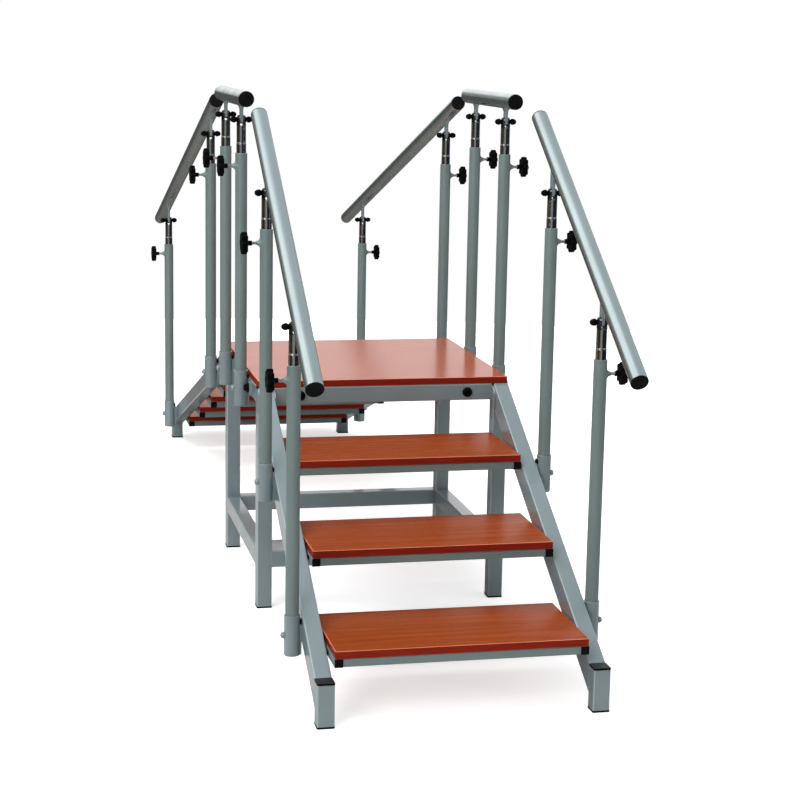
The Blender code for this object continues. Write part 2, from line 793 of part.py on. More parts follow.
def rail(name, side, low, high, pins, rises, paint):
    """Handrail tube between two ends (y, z on the axis), with end caps and two tongues."""
    x = side * POST_X
    start = Vector((x, low[0], low[1]))
    end = Vector((x, high[0], high[1]))
    along = end - start
    length = along.length
    turn = math.atan2(along.z, along.y)
    place = Matrix.Translation(start) @ Matrix.Rotation(turn - math.pi / 2, 4, "X")
    r = RAIL_RADIUS
    tube = turned(
        [
            (r * RAIL_END_SHARE, 0.0),
            (r, RAIL_END),
            (r, length - RAIL_END),
            (r * RAIL_END_SHARE, length),
        ],
        RAIL_FACETS,
        place,
    )
    tongues, holes = [], []
    for (y, pin), rise in zip(pins, rises):
        half = TONGUE_WIDTH / 2
        outline = []
        for i in range(TONGUE_CORNERS + 1):
            swing = math.pi + math.pi * i / TONGUE_CORNERS
            outline.append((y + half * math.cos(swing), pin + half * math.sin(swing)))
        outline.append((y + half, pin + rise - r * TONGUE_SINK_SHARE))
        outline.append((y - half, pin + rise - r * TONGUE_SINK_SHARE))
        tongues.append(prism(outline, x - TONGUE / 2, x + TONGUE / 2))
        place = sideways(x, y, pin, 1)
        radius = PIN_RADIUS + HOLE_PLAY
        holes.append(turned([(radius, -TONGUE), (radius, TONGUE)], SMALL_FACETS, place))
    tube = joined(tube, tongues)
    tube = cut(tube, holes)
    return finished(tube, name, paint, (x, pins[0][0], pins[0][1]))


def post_set(label, side, y, pin, grey, chrome, black):
    """One telescoping post: outer tube, inner tube and clamp knob."""
    hand = "left" if side < 0 else "right"
    top = pin - PIN_ABOVE_POST
    post(f"{label}_post_{hand}", side, y, top, grey)
    slide_tube(f"{label}_slide_{hand}", side, y, pin, chrome)
    knob(f"{label}_knob_{hand}", side, y, top - KNOB_BELOW_TOP, black)


def centred():
    """Moves the whole assembly along Y so that the origin lies below the middle of its length."""
    pieces = list(bpy.context.scene.objects)
    reach = [v.co.y + piece.location.y for piece in pieces for v in piece.data.vertices]
    shift = -(min(reach) + max(reach)) / 2
    for piece in pieces:
        if piece.location.length > 0:
            piece.location.y += shift
        else:
            piece.data.transform(Matrix.Translation((0, shift, 0)))


def main():
    clear_scene()
    grey = material("grey_enamel", (0.42, 0.46, 0.47), 0.42, 0.25)
    wood = material("red_wood_laminate", (0.40, 0.11, 0.045), 0.40)
    chrome = material("bright_chrome", (0.62, 0.61, 0.58), 0.16, 1.0)
    black = material("black_plastic", (0.018, 0.018, 0.020), 0.45)

    front = Flight(
        -1, FRONT_TREADS, FRONT_GOING, FRONT_STRINGER_DEPTH, FRONT_FOOT_AHEAD,
        FRONT_POSTS, FRONT_PINS_ABOVE, FRONT_RAIL_RISES, FRONT_RAIL_ENDS,
    )
    rear = Flight(
        1, REAR_TREADS, REAR_GOING, REAR_STRINGER_DEPTH, REAR_FOOT_AHEAD,
        REAR_POSTS, REAR_PINS_ABOVE, REAR_RAIL_RISES, REAR_RAIL_ENDS,
    )

    platform_frame(grey, (front, rear))
    board("platform_board", FRONT, REAR, HALF - BOARD_SETBACK, FRAME_HEIGHT, wood)

    for label, flight in (("front", front), ("rear", rear)):
        flight_frame(flight, f"{label}_flight_frame", grey)
        for step in range(1, flight.treads + 1):
            nose = flight.nosing(step)
            low_y, high_y = flight.span(nose - TREAD_DEPTH, nose)
            number = flight.treads + 1 - step
            width = INNER - TREAD_END_GAP
            board(f"{label}_tread_board_{number}", low_y, high_y, width, flight.board_bottom(step), wood)
        for side in (-1, 1):
            hand = "left" if side < 0 else "right"
            coupling_bolt(flight, side, f"{label}_coupling_bolt_{hand}", black)
            pins = []
            for place, out, pin in zip(("lower", "upper"), flight.posts, flight.pins_z):
                post_set(f"{label}_{place}", side, flight.y(out), pin, grey, chrome, black)
                pins.append((flight.y(out), pin))
            ends = [(flight.y(out), flight.rail_axis(out)) for out in flight.rail_ends]
            rail(f"{label}_rail_{hand}", side, ends[0], ends[1], pins, flight.rail_rises, grey)

    for side in (-1, 1):
        hand = "left" if side < 0 else "right"
        pins = []
        for place, end in (("front", -1), ("rear", 1)):
            y = end * PLATFORM_POST_SPACING / 2
            post_set(f"platform_{place}", side, y, PLATFORM_PIN_Z, grey, chrome, black)
            pins.append((y, PLATFORM_PIN_Z))
        height = PLATFORM_PIN_Z + PLATFORM_RAIL_RISE
        half = PLATFORM_RAIL_LENGTH / 2
        rises = (PLATFORM_RAIL_RISE, PLATFORM_RAIL_RISE)
        rail(f"platform_rail_{hand}", side, (-half, height), (half, height), pins, rises, grey)

    centred()


main()
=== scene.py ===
"""Looks of the rehabilitation stairs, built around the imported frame.

Metres, Z up, front towards -Y, origin on the floor below the middle of the overall length. Places
along Y are laid out from the middle of the platform, and each piece is moved to that origin as
its mesh is made.
"""

from __future__ import annotations

import logging
import math
from dataclasses import dataclass, field
from enum import Enum, IntEnum
from typing import Iterable, Sequence

import bpy
import numpy as np
from mathutils import Matrix, Vector

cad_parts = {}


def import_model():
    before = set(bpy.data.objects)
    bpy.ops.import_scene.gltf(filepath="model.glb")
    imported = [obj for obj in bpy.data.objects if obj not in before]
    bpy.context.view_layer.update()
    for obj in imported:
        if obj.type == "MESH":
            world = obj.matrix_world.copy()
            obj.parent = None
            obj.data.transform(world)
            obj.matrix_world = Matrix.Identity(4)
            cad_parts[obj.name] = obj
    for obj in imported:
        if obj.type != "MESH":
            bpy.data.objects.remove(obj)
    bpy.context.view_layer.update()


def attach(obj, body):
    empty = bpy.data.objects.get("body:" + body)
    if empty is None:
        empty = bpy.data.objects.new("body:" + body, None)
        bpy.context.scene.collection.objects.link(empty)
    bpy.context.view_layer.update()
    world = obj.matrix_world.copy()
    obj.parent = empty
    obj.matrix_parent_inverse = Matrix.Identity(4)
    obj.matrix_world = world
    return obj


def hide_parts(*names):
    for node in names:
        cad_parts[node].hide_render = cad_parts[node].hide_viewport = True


LOG = logging.getLogger("stairs")
Array = np.ndarray
Point = tuple[float, float, float]
Stops = Sequence[tuple[float, Point]]
NodeSocket = bpy.types.NodeSocket
FINE = 1e-4  # least radius of a ring, so that no ring shrinks to one point
SHARP = math.radians(34)  # an edge that turns more than this stays crisp
QUARTER = math.pi / 2
MIDDLE = -0.39828494  # middle of the platform along Y


class Slot(Enum):
    """Material slots of the record."""

    GREY = "grey_enamel"
    WOOD = "red_wood_laminate"
    CHROME = "bright_chrome"
    BLACK = "black_plastic"


class Hand(Enum):
    """The two sides of the stairs, seen from the front."""

    LEFT = -1
    RIGHT = 1

    @property
    def word(self) -> str:
        """The side's name in lower case, as the nodes have it."""
        return self.name.lower()

    def reach(self, near: float, far: float) -> tuple[float, float]:
        """Turns two distances from the middle into a low and a high X."""
        a, b = self.value * near, self.value * far
        return min(a, b), max(a, b)


class Axis(Enum):
    """A main direction, with the two directions across it in right-handed order."""

    X = (0, 1, 2)
    Y = (1, 2, 0)
    Z = (2, 0, 1)


class Around(IntEnum):
    """Points around a round piece."""

    BEAD = 8
    PIN = 24
    SCREW = 36
    HUB = 40
    POST = 48
    RAIL = 64
    FLOOR = 96
    LOBES = 128

    def turn(self) -> Array:
        """The angles of these points, evenly spaced over a full turn."""
        return np.arange(self) * 2 * math.pi / self


# Surfaces


@dataclass
class Surface:
    """Points and faces of one closed skin, or of several put together."""

    points: Array
    quads: Array
    triangles: Array

    def volume(self) -> float:
        """Six times the signed volume: the sum of a·(b×c) over the triangles of the skin.

        Returns:
            The sum, below zero where the faces point inwards.
        """
        total = 0.0
        for corners in (self.quads[:, [0, 1, 2]], self.quads[:, [0, 2, 3]], self.triangles):
            if len(corners):
                a, b, c = (self.points[corners[:, i]] for i in range(3))
                total += float(np.einsum("ij,ij->", a, np.cross(b, c)))
        return total

    def flipped(self) -> Surface:
        """The same skin with its faces turned round."""
        return Surface(self.points, self.quads[:, ::-1], self.triangles[:, ::-1])

    def outward(self) -> Surface:
        """The same skin with its faces outwards, told by the sign of its volume."""
        return self.flipped() if self.volume() < 0 else self

    def mirrored(self) -> Surface:
        """The skin's mirror image across the middle plane, X to -X."""
        return Surface(self.points * (-1.0, 1.0, 1.0), self.quads, self.triangles).flipped()

    def moved(self, shift: Sequence[float]) -> Surface:
        """The skin shifted by a vector."""
        return Surface(self.points + np.asarray(shift, float), self.quads, self.triangles)


def together(skins: Iterable[Surface]) -> Surface:
    """Puts several skins into one, each one's face numbers raised by the points before it.

    Args:
        skins: the skins, which stay separate bodies.

    Returns:
        One surface that holds them all.
    """
    skins = list(skins)
    starts = np.cumsum([0] + [len(s.points) for s in skins[:-1]])
    return Surface(
        np.concatenate([s.points for s in skins]),
        np.concatenate([s.quads + n for s, n in zip(skins, starts)]),
        np.concatenate([s.triangles + n for s, n in zip(skins, starts)]),
    )


def skin(rings: Array, looped: bool = False) -> Surface:
    """Joins rings of points into a closed skin.

    Point j of ring i has the number i·n + j; a face joins the points j and j+1 of the rings i
    and i+1, both counted round. The two ends close on the middle point of their ring, unless
    the last ring joins the first.

    Args:
        rings: array of rings by points by 3.
        looped: True where the last ring joins the first.

    Returns:
        The skin, its faces outwards.
    """
    count, around = rings.shape[:2]
    i = np.arange(count if looped else count - 1)[:, None]
    j = np.arange(around)[None, :]
    after, beside = (i + 1) % count, (j + 1) % around
    quads = np.stack(
        [i * around + j, i * around + beside, after * around + beside, after * around + j], -1
    ).reshape(-1, 4)
    points = rings.reshape(-1, 3)
    if looped:
        return Surface(points, quads, np.zeros((0, 3), int)).outward()
    total = count * around
    j, beside = np.arange(around), (np.arange(around) + 1) % around
    first = np.stack([np.full(around, total), beside, j], -1)
    last = np.stack([np.full(around, total + 1), total - around + j, total - around + beside], -1)
    points = np.concatenate([points, [rings[0].mean(0)], [rings[-1].mean(0)]])
    return Surface(points, quads, np.concatenate([first, last])).outward()


def eased(points: Array, reach: float | Array, steps: int = 5, closed: bool = False) -> Array:
    """Rounds the corners of a line in the plane.

    Each corner c becomes the curve (1-t)²·a + 2t(1-t)·c + t²·b, where a and b lie on the two
    sides, `reach` away from c or just under half a side if that is less.

    Args:
        points: array of corners by 2.
        reach: how far the rounding runs along each side, one value or one for each corner.
        steps: points along each rounding.
        closed: True for an outline, False for a line whose two ends stay.

    Returns:
        Array of points by 2.
    """
    points = np.asarray(points, float)
    corners = points if closed else points[1:-1]
    before = np.roll(points, 1, 0) if closed else points[:-2]
    after = np.roll(points, -1, 0) if closed else points[2:]
    reach = np.broadcast_to(reach, len(corners))[:, None]

    def toward(other: Array) -> Array:
        """The point on each side where the rounding starts.

        Args:
            other: the corners at the other ends of the sides.

        Returns:
            Array of points by 2.
        """
        side = other - corners
        length = np.linalg.norm(side, axis=1, keepdims=True)
        return corners + side / length * np.minimum(reach, 0.49 * length)

    a, b = toward(before)[:, None], toward(after)[:, None]
    t = np.linspace(0.0, 1.0, steps)[None, :, None]
    line = ((1 - t) ** 2 * a + 2 * t * (1 - t) * corners[:, None] + t**2 * b).reshape(-1, 2)
    return line if closed else np.concatenate([points[:1], line, points[-1:]])


def rounded_rings(half_a: Array, half_b: Array, radius: Array, arc: int = 6) -> Array:
    """Rounded rectangles, one for each value of the arrays.

    A corner's points are its centre (±(a-r), ±(b-r)) plus r·(cos t, sin t), with t over the
    quarter turn that faces that corner.

    Args:
        half_a: half widths.
        half_b: half heights.
        radius: corner radii.
        arc: points along each corner.

    Returns:
        Array of rectangles by points by 2.
    """
    half_a, half_b, radius = (np.atleast_1d(v).astype(float) for v in (half_a, half_b, radius))
    turn = np.arange(4)[:, None] * QUARTER + np.linspace(0, QUARTER, arc)
    signs = np.array([(1, 1), (-1, 1), (-1, -1), (1, -1)], float)
    centre = np.stack([half_a - radius, half_b - radius], -1)[:, None, None, :] * signs[None, :, None, :]
    swing = np.stack([np.cos(turn), np.sin(turn)], -1)[None] * radius[:, None, None, None]
    return (centre + swing).reshape(len(half_a), -1, 2)


def end_steps(length: float, ends: tuple[float, float], steps: int = 4) -> tuple[Array, Array]:
    """Places along a bar and how far its outline is drawn in there.

    At the distance e(1-cos t) from an end with the rounding e the outline is drawn in by
    e(1-sin t), with t from nothing to a quarter turn.

    Args:
        length: the bar's length.
        ends: rounding at the near and the far end.
        steps: places along each rounding.

    Returns:
        The places and the insets.
    """
    t = np.linspace(0.0, QUARTER, steps)
    near, far = ends
    place = np.concatenate([near * (1 - np.cos(t)), length - far * (1 - np.cos(t[::-1]))])
    inset = np.concatenate([near * (1 - np.sin(t)), far * (1 - np.sin(t[::-1]))])
    return place, inset


def bar(
    low: Sequence[float],
    high: Sequence[float],
    axis: Axis,
    corner: float,
    ends: tuple[float, float] = (0.0004, 0.0004),
) -> Surface:
    """A straight tube or block between two opposite corners, its cross-section a rounded
    rectangle that is carried along one axis and drawn in at the two ends.

    Args:
        low: one corner.
        high: the opposite corner.
        axis: the direction it runs.
        corner: radius of its long edges.
        ends: rounding of its two end faces.

    Returns:
        The closed skin.
    """
    low, high = np.minimum(low, high), np.maximum(low, high)
    size, middle = high - low, (low + high) / 2
    run, a, b = axis.value
    place, inset = end_steps(size[run], ends)
    outline = rounded_rings(size[a] / 2 - inset, size[b] / 2 - inset, np.maximum(corner - inset, FINE))
    rings = np.empty((*outline.shape[:2], 3))
    rings[..., a] = middle[a] + outline[..., 0]
    rings[..., b] = middle[b] + outline[..., 1]
    rings[..., run] = (low[run] + place)[:, None]
    return skin(rings)


def plate(outline: Array, low: float, high: float, axis: Axis, edge: float) -> Surface:
    """A flat piece: an outline across one axis, given thickness along it.

    Near the two faces the outline is drawn in along its own normal, by e(1-sin t) at the
    depth e(1-cos t), so that its edges are rounded.

    Args:
        outline: array of points by 2, along the two directions across the axis.
        low: where the plate starts.
        high: where it ends.
        axis: the direction of its thickness.
        edge: rounding of its edges.

    Returns:
        The closed skin.
    """
    run, a, b = axis.value
    tangent = np.roll(outline, -1, 0) - np.roll(outline, 1, 0)
    tangent /= np.linalg.norm(tangent, axis=1, keepdims=True)
    inward = np.stack([-tangent[:, 1], tangent[:, 0]], -1)
    area = np.sum(outline[:, 0] * np.roll(outline[:, 1], -1) - np.roll(outline[:, 0], -1) * outline[:, 1])
    inward *= math.copysign(1.0, area)
    place, inset = end_steps(high - low, (edge, edge))
    flat = outline[None] + inward[None] * inset[:, None, None]
    rings = np.empty((len(place), len(outline), 3))
    rings[..., a], rings[..., b] = flat[..., 0], flat[..., 1]
    rings[..., run] = (low + place)[:, None]
    return skin(rings)


@dataclass(frozen=True)
class Spindle:
    """A turning axis: its origin and its direction."""

    origin: Point
    direction: Point

    def turned(self, profile: Array, around: Around = Around.HUB, wave: Array | None = None,
               looped: bool = False) -> Surface:
        """A round piece.

        The point at the height h and the angle q is the origin plus h along the axis plus
        r(1+w)·(u cos q + v sin q), where u and v stand across the axis and w is the wave.

        Args:
            profile: array of places by 2, radius and height.
            around: points around.
            wave: array of places by `around` that makes the radius larger or smaller.
            looped: True where the profile's end joins its start, as in a tube's wall.

        Returns:
            The closed skin.
        """
        w = np.asarray(self.direction, float)
        u = np.cross(w, (0.0, 1.0, 0.0)) if abs(w[1]) < 0.9 else np.cross(w, (1.0, 0.0, 0.0))
        u /= np.linalg.norm(u)
        v = np.cross(w, u)
        turn = around.turn()
        radius = np.maximum(profile[:, :1], FINE) * np.ones((1, around))
        if wave is not None:
            radius = radius * (1 + wave)
        swing = np.cos(turn)[:, None] * u + np.sin(turn)[:, None] * v
        rings = np.asarray(self.origin) + profile[:, 1][:, None, None] * w + radius[..., None] * swing[None]
        return skin(rings, looped)


def upright(x: float, y: float) -> Spindle:
    """An axis that points up from the floor."""
    return Spindle((x, y, 0.0), (0.0, 0.0, 1.0))


def sideways(x: float, y: float, z: float, side: int) -> Spindle:
    """An axis along X, towards the given side."""
    return Spindle((x, y, z), (float(side), 0.0, 0.0))


HUMP = 0.002  # length of one ripple of a weld bead
BEAD_STEP = 0.0007
BEAD_END = 0.003


def bead(start: Sequence[float], end: Sequence[float], radius: float = 0.0022) -> Surface:
    """A weld bead between two points, half sunk in the joint.

    A circle is carried along the line; its radius is r(0.9 + 0.1·|sin|) with a hump every
    2 mm, and it closes in by a square root over the last 3 mm.

    Args:
        start: where it starts.
        end: where it ends.
        radius: radius of the bead.

    Returns:
        The closed skin.
    """
    start, end = np.asarray(start, float), np.asarray(end, float)
    length = float(np.linalg.norm(end - start))
    w = (end - start) / length
    u = np.cross(w, (0.3, 0.5, 0.8))
    u /= np.linalg.norm(u)
    v = np.cross(w, u)
    s = np.linspace(0.0, length, max(int(length / BEAD_STEP), 12))
    hump = 0.9 + 0.1 * np.abs(np.sin(s * math.pi / HUMP))
    close = np.sqrt(np.clip(np.minimum(s, length - s) / BEAD_END, 0.02, 1.0))
    size = radius * hump * close
    turn = Around.BEAD.turn()
    swing = np.cos(turn)[:, None] * u + np.sin(turn)[:, None] * v
    return skin(start + s[:, None, None] * w + size[:, None, None] * swing[None])


# Finishes


class Wiring:
    """Short calls that add and wire the nodes of one tree."""

    def __init__(self, tree: bpy.types.NodeTree) -> None:
        """Starts on a tree."""
        self.tree = tree

    def node(self, kind: str, **settings: object) -> bpy.types.Node:
        """Adds a node and sets its properties.

        Args:
            kind: the node's type.
            settings: its properties.

        Returns:
            The node.
        """
        made = self.tree.nodes.new(kind)
        for key, value in settings.items():
            setattr(made, key, value)
        return made

    def wire(self, source: NodeSocket, target: NodeSocket) -> None:
        """Joins an output to an input."""
        self.tree.links.new(source, target)

    def ramp(self, source: NodeSocket, stops: Stops) -> NodeSocket:
        """Turns a number into a colour.

        Args:
            source: the number.
            stops: (place, colour) pairs, in order of place.

        Returns:
            The colour.
        """
        made = self.node("ShaderNodeValToRGB")
        elements = made.color_ramp.elements
        while len(elements) < len(stops):
            elements.new(0.5)
        for element, (position, colour) in zip(elements, stops):
            element.position = position
            element.color = (*colour, 1.0)
        self.wire(source, made.inputs["Fac"])
        return made.outputs["Color"]

    def span(self, source: NodeSocket, low: float, high: float, start: float = 0.3,
             end: float = 0.7) -> NodeSocket:
        """Spreads a number over another range and holds it there.

        Args:
            source: the number.
            low: what `start` becomes.
            high: what `end` becomes.
            start: the number's lower bound.
            end: its upper bound.

        Returns:
            The new number.
        """
        made = self.node("ShaderNodeMapRange")
        for key, value in (("From Min", start), ("From Max", end), ("To Min", low), ("To Max", high)):
            made.inputs[key].default_value = value
        self.wire(source, made.inputs["Value"])
        return made.outputs["Result"]

    def colour(self, value: Point) -> NodeSocket:
        """Adds a plain colour.

        Args:
            value: red, green and blue.

        Returns:
            The colour.
        """
        made = self.node("ShaderNodeRGB")
        made.outputs[0].default_value = (*value, 1.0)
        return made.outputs[0]

    def maths(self, operation: str, *sources: NodeSocket) -> NodeSocket:
        """Works out one number from others.

        Args:
            operation: what is done with them.
            sources: the numbers.

        Returns:
            The result.
        """
        made = self.node("ShaderNodeMath", operation=operation)
        for source, target in zip(sources, made.inputs):
            self.wire(source, target)
        return made.outputs["Value"]

    def blend(self, mode: str, amount: float | NodeSocket, a: NodeSocket, b: NodeSocket) -> NodeSocket:
        """Mixes two colours.

        Args:
            mode: how the second acts on the first.
            amount: the second's share.
            a: the first colour.
            b: the second colour.

        Returns:
            The mixed colour.
        """
        made = self.node("ShaderNodeMix", data_type="RGBA", blend_type=mode)
        if isinstance(amount, float):
            made.inputs["Factor"].default_value = amount
        else:
            self.wire(amount, made.inputs["Factor"])
        self.wire(a, made.inputs["A"])
        self.wire(b, made.inputs["B"])
        return made.outputs["Result"]


class Recipe(Wiring):
    """A material's node tree, on its own piece's coordinates."""

    def __init__(self, name: str) -> None:
        """Starts a material with its shader and the piece's own coordinates.

        Args:
            name: the material's name.
        """
        self.material = bpy.data.materials.new(name)
        self.material.use_nodes = True
        super().__init__(self.material.node_tree)
        self.shader = self.tree.nodes["Principled BSDF"]
        self.place = self.node("ShaderNodeTexCoord").outputs["Object"]

    def base(self, colour: Point, roughness: float, metallic: float = 0.0, **more: float) -> None:
        """Sets the shader's constants.

        Args:
            colour: base colour.
            roughness: roughness.
            metallic: metallic.
            more: other inputs, with spaces written as underscores.
        """
        inputs = self.shader.inputs
        inputs["Base Color"].default_value = (*colour, 1.0)
        inputs["Roughness"].default_value = roughness
        inputs["Metallic"].default_value = metallic
        for key, value in more.items():
            inputs[key.replace("_", " ")].default_value = value

    def feed(self, name: str, source: NodeSocket) -> None:
        """Wires a number or a colour to one of the shader's inputs."""
        self.wire(source, self.shader.inputs[name])

    def tones(self, source: NodeSocket, colour: Point, dark: float, light: float) -> NodeSocket:
        """A colour that wavers between a darker and a lighter tone of itself."""
        return self.ramp(source, ((0.30, shade(colour, dark)), (0.70, shade(colour, light))))

    def noise(self, scale: Point, detail: float, rough: float = 0.5, bend: float = 0.0) -> NodeSocket:
        """Adds cloudy noise.

        Args:
            scale: waves for each metre along each axis.
            detail: how many finer layers it has.
            rough: how strong they are.
            bend: how far it is warped.

        Returns:
            The noise, from 0 to 1 round 0.5.
        """
        spread = self.node("ShaderNodeMapping")
        spread.inputs["Scale"].default_value = scale
        self.wire(self.place, spread.inputs["Vector"])
        made = self.node("ShaderNodeTexNoise")
        made.inputs["Scale"].default_value = 1.0
        made.inputs["Detail"].default_value = detail
        made.inputs["Roughness"].default_value = rough
        made.inputs["Distortion"].default_value = bend
        self.wire(spread.outputs["Vector"], made.inputs["Vector"])
        return made.outputs["Fac"]

    def bump(self, source: NodeSocket, height: float, strength: float) -> None:
        """Raises the surface by a number.

        Args:
            source: the number.
            height: metres at its full height.
            strength: share of the bump that shows.
        """
        made = self.node("ShaderNodeBump")
        made.inputs["Strength"].default_value = strength
        made.inputs["Distance"].default_value = height
        self.wire(source, made.inputs["Height"])
        self.feed("Normal", made.outputs["Normal"])


def shade(colour: Point, factor: float) -> Point:
    """A colour made lighter or darker."""
    return tuple(min(c * factor, 1.0) for c in colour)


@dataclass(frozen=True)
class Finish:
    """A surface finish; its material is made once, when first asked for."""

    name: str
    slot: Slot

    def dress(self, recipe: Recipe) -> None:
        """Fills the material's node tree."""
        raise NotImplementedError

    def material(self) -> bpy.types.Material:
        """Finds or makes the finish's material.

        Returns:
            The material.
        """
        found = bpy.data.materials.get(self.name)
        if found is None:
            recipe = Recipe(self.name)
            self.dress(recipe)
            found = recipe.material
        return found


@dataclass(frozen=True)
class Enamel(Finish):
    """Stoved metallic paint: faint clouds, a fine orange-peel skin and tiny bright flakes."""

    colour: Point = (0.224, 0.279, 0.298)
    roughness: float = 0.36
    metallic: float = 0.30
    coat: float = 1.0
    flake: float = 0.20
    peel: float = 0.35

    def dress(self, recipe: Recipe) -> None:
        """Clouds of tone, flakes and orange peel under a thin gloss that draws the edges.

        Args:
            recipe: the material's node tree.
        """
        recipe.base(self.colour, self.roughness, self.metallic, Specular_IOR_Level=0.3,
                    Coat_Weight=self.coat, Coat_Roughness=0.10, Coat_IOR=1.6)
        clouds = recipe.noise((5.0, 5.0, 5.0), 3.0)
        tone = recipe.tones(clouds, self.colour, 0.95, 1.05)
        flakes = recipe.noise((1500.0, 1500.0, 1500.0), 1.0)
        low, high = (1.0 - self.flake / 2,) * 3, (1.0 + self.flake,) * 3
        glint = recipe.ramp(flakes, ((0.40, low), (0.62, (1.0, 1.0, 1.0)), (0.72, high)))
        recipe.feed("Base Color", recipe.blend("MULTIPLY", 1.0, tone, glint))
        smear = recipe.noise((14.0, 14.0, 14.0), 5.0)
        recipe.feed("Roughness", recipe.span(smear, self.roughness - 0.04, self.roughness + 0.05))
        recipe.bump(recipe.noise((420.0, 420.0, 420.0), 2.0), 0.00012, self.peel)


@dataclass(frozen=True)
class Laminate(Finish):
    """Reddish wood laminate, its grain along the width of the stairs, with a satin face."""

    dark: Point = (0.300, 0.050, 0.0125)
    middle: Point = (0.350, 0.062, 0.0155)
    light: Point = (0.410, 0.080, 0.022)
    roughness: float = 0.20
    gloss: float = 0.42

    def dress(self, recipe: Recipe) -> None:
        """Soft bands, fine streaks along the grain and short dark pores.

        Args:
            recipe: the material's node tree.
        """
        recipe.base(self.middle, self.roughness, Specular_IOR_Level=self.gloss)
        bands = recipe.noise((2.2, 60.0, 60.0), 5.0, 0.6, 0.4)
        streaks = recipe.noise((12.0, 420.0, 420.0), 5.0, 0.65, 0.2)
        tone = recipe.ramp(bands, ((0.30, self.dark), (0.50, self.middle), (0.72, self.light)))
        stops = ((0.32, (0.78, 0.72, 0.68)), (0.52, (1.0, 1.0, 1.0)), (0.70, (1.12, 1.12, 1.10)))
        lines = recipe.ramp(streaks, stops)
        grain = recipe.blend("MULTIPLY", 0.85, tone, lines)
        pores = recipe.noise((60.0, 1100.0, 1100.0), 2.0)
        dashes = recipe.ramp(pores, ((0.30, (0.62, 0.52, 0.46)), (0.42, (1.0, 1.0, 1.0))))
        recipe.feed("Base Color", recipe.blend("MULTIPLY", 0.75, grain, dashes))
        recipe.feed("Roughness", recipe.span(streaks, self.roughness + 0.04, self.roughness - 0.03))
        recipe.bump(recipe.blend("MULTIPLY", 1.0, lines, dashes), 0.00004, 0.25)


@dataclass(frozen=True)
class EdgeBand(Finish):
    """Plain dark-red plastic edging round a board."""

    colour: Point = (0.180, 0.0115, 0.0045)
    roughness: float = 0.45
    gloss: float = 0.06

    def dress(self, recipe: Recipe) -> None:
        """Faint streaks along the edging and a soft gloss.

        Args:
            recipe: the material's node tree.
        """
        recipe.base(self.colour, self.roughness, Specular_IOR_Level=self.gloss)
        streaks = recipe.noise((12.0, 12.0, 500.0), 3.0)
        recipe.feed("Base Color", recipe.tones(streaks, self.colour, 0.85, 1.15))
        recipe.bump(streaks, 0.00005, 0.3)


@dataclass(frozen=True)
class Chrome(Finish):
    """Bright plated steel with faint draw lines."""

    colour: Point = (0.62, 0.61, 0.59)
    roughness: float = 0.08

    def dress(self, recipe: Recipe) -> None:
        """Uneven gloss and fine lines round the piece.

        Args:
            recipe: the material's node tree.
        """
        recipe.base(self.colour, self.roughness, 1.0)
        smear = recipe.noise((30.0, 30.0, 60.0), 5.0)
        recipe.feed("Roughness", recipe.span(smear, self.roughness - 0.03, self.roughness + 0.05))
        recipe.feed("Base Color", recipe.tones(smear, self.colour, 0.92, 1.04))
        recipe.bump(recipe.noise((300.0, 300.0, 1600.0), 2.0), 0.00001, 0.2)


@dataclass(frozen=True)
class BlackPlastic(Finish):
    """Moulded black plastic with a fine even grain."""

    colour: Point = (0.0045, 0.0045, 0.005)
    roughness: float = 0.42
    gloss: float = 0.05

    def dress(self, recipe: Recipe) -> None:
        """Fine moulded grain and a little unevenness of gloss.

        Args:
            recipe: the material's node tree.
        """
        recipe.base(self.colour, self.roughness, Specular_IOR_Level=self.gloss)
        cloud = recipe.noise((45.0, 45.0, 45.0), 4.0)
        recipe.feed("Roughness", recipe.span(cloud, self.roughness - 0.07, self.roughness + 0.08))
        recipe.feed("Base Color", recipe.tones(cloud, self.colour, 0.8, 1.5))
        recipe.bump(recipe.noise((1300.0, 1300.0, 1300.0), 2.0), 0.00010, 0.25)


FRAME_ENAMEL = Enamel("frame_enamel", Slot.GREY)
# lighter copy of the frame enamel for rounded edges and rims: a painted highlight
EDGE_HIGHLIGHT_ENAMEL = Enamel("frame_enamel_edge", Slot.GREY, (0.33, 0.41, 0.435), 0.32, 0.35)
POST_ENAMEL = Enamel("post_enamel", Slot.GREY, (0.180, 0.235, 0.230), 0.42, 0.30, coat=0.12)
RAIL_ENAMEL = Enamel("rail_enamel", Slot.GREY, (0.67, 0.76, 0.78), 0.20, 1.0, coat=0.0, flake=0.01,
                     peel=0.004)
LAMINATE = Laminate("red_wood", Slot.WOOD)
TREAD_LAMINATE = Laminate("red_wood_tread", Slot.WOOD, (0.215, 0.037, 0.0062), (0.254, 0.0460, 0.0078),
                          (0.302, 0.061, 0.0118), 0.26, gloss=0.05)
EDGING = EdgeBand("red_edging", Slot.WOOD)
# lighter edging for the boards' rounded edges: a painted highlight along the edges
EDGE_BAND_HIGHLIGHT = EdgeBand("scraped_edge", Slot.WOOD, (0.56, 0.200, 0.105))
PLATING = Chrome("plated_steel", Slot.CHROME)
# very dark chrome for the fork's arms: painted shade on plating like the slide's
FORK_SHADED_CHROME = Chrome("darkened_steel", Slot.CHROME, (0.10, 0.10, 0.105), 0.24)
ZINC = Chrome("bright_zinc", Slot.CHROME, (0.72, 0.72, 0.70), 0.22)
MOULDED = BlackPlastic("moulded_black", Slot.BLACK)
GLOSSY = BlackPlastic("glossy_black", Slot.BLACK, (0.0030, 0.0030, 0.0035), 0.30, 0.015)
# lighter black for the upward faces of the foot caps: a painted sheen on their tops
CAP_TOP_SHEEN = BlackPlastic("cap_black", Slot.BLACK, (0.014, 0.016, 0.016), 0.36, 0.08)


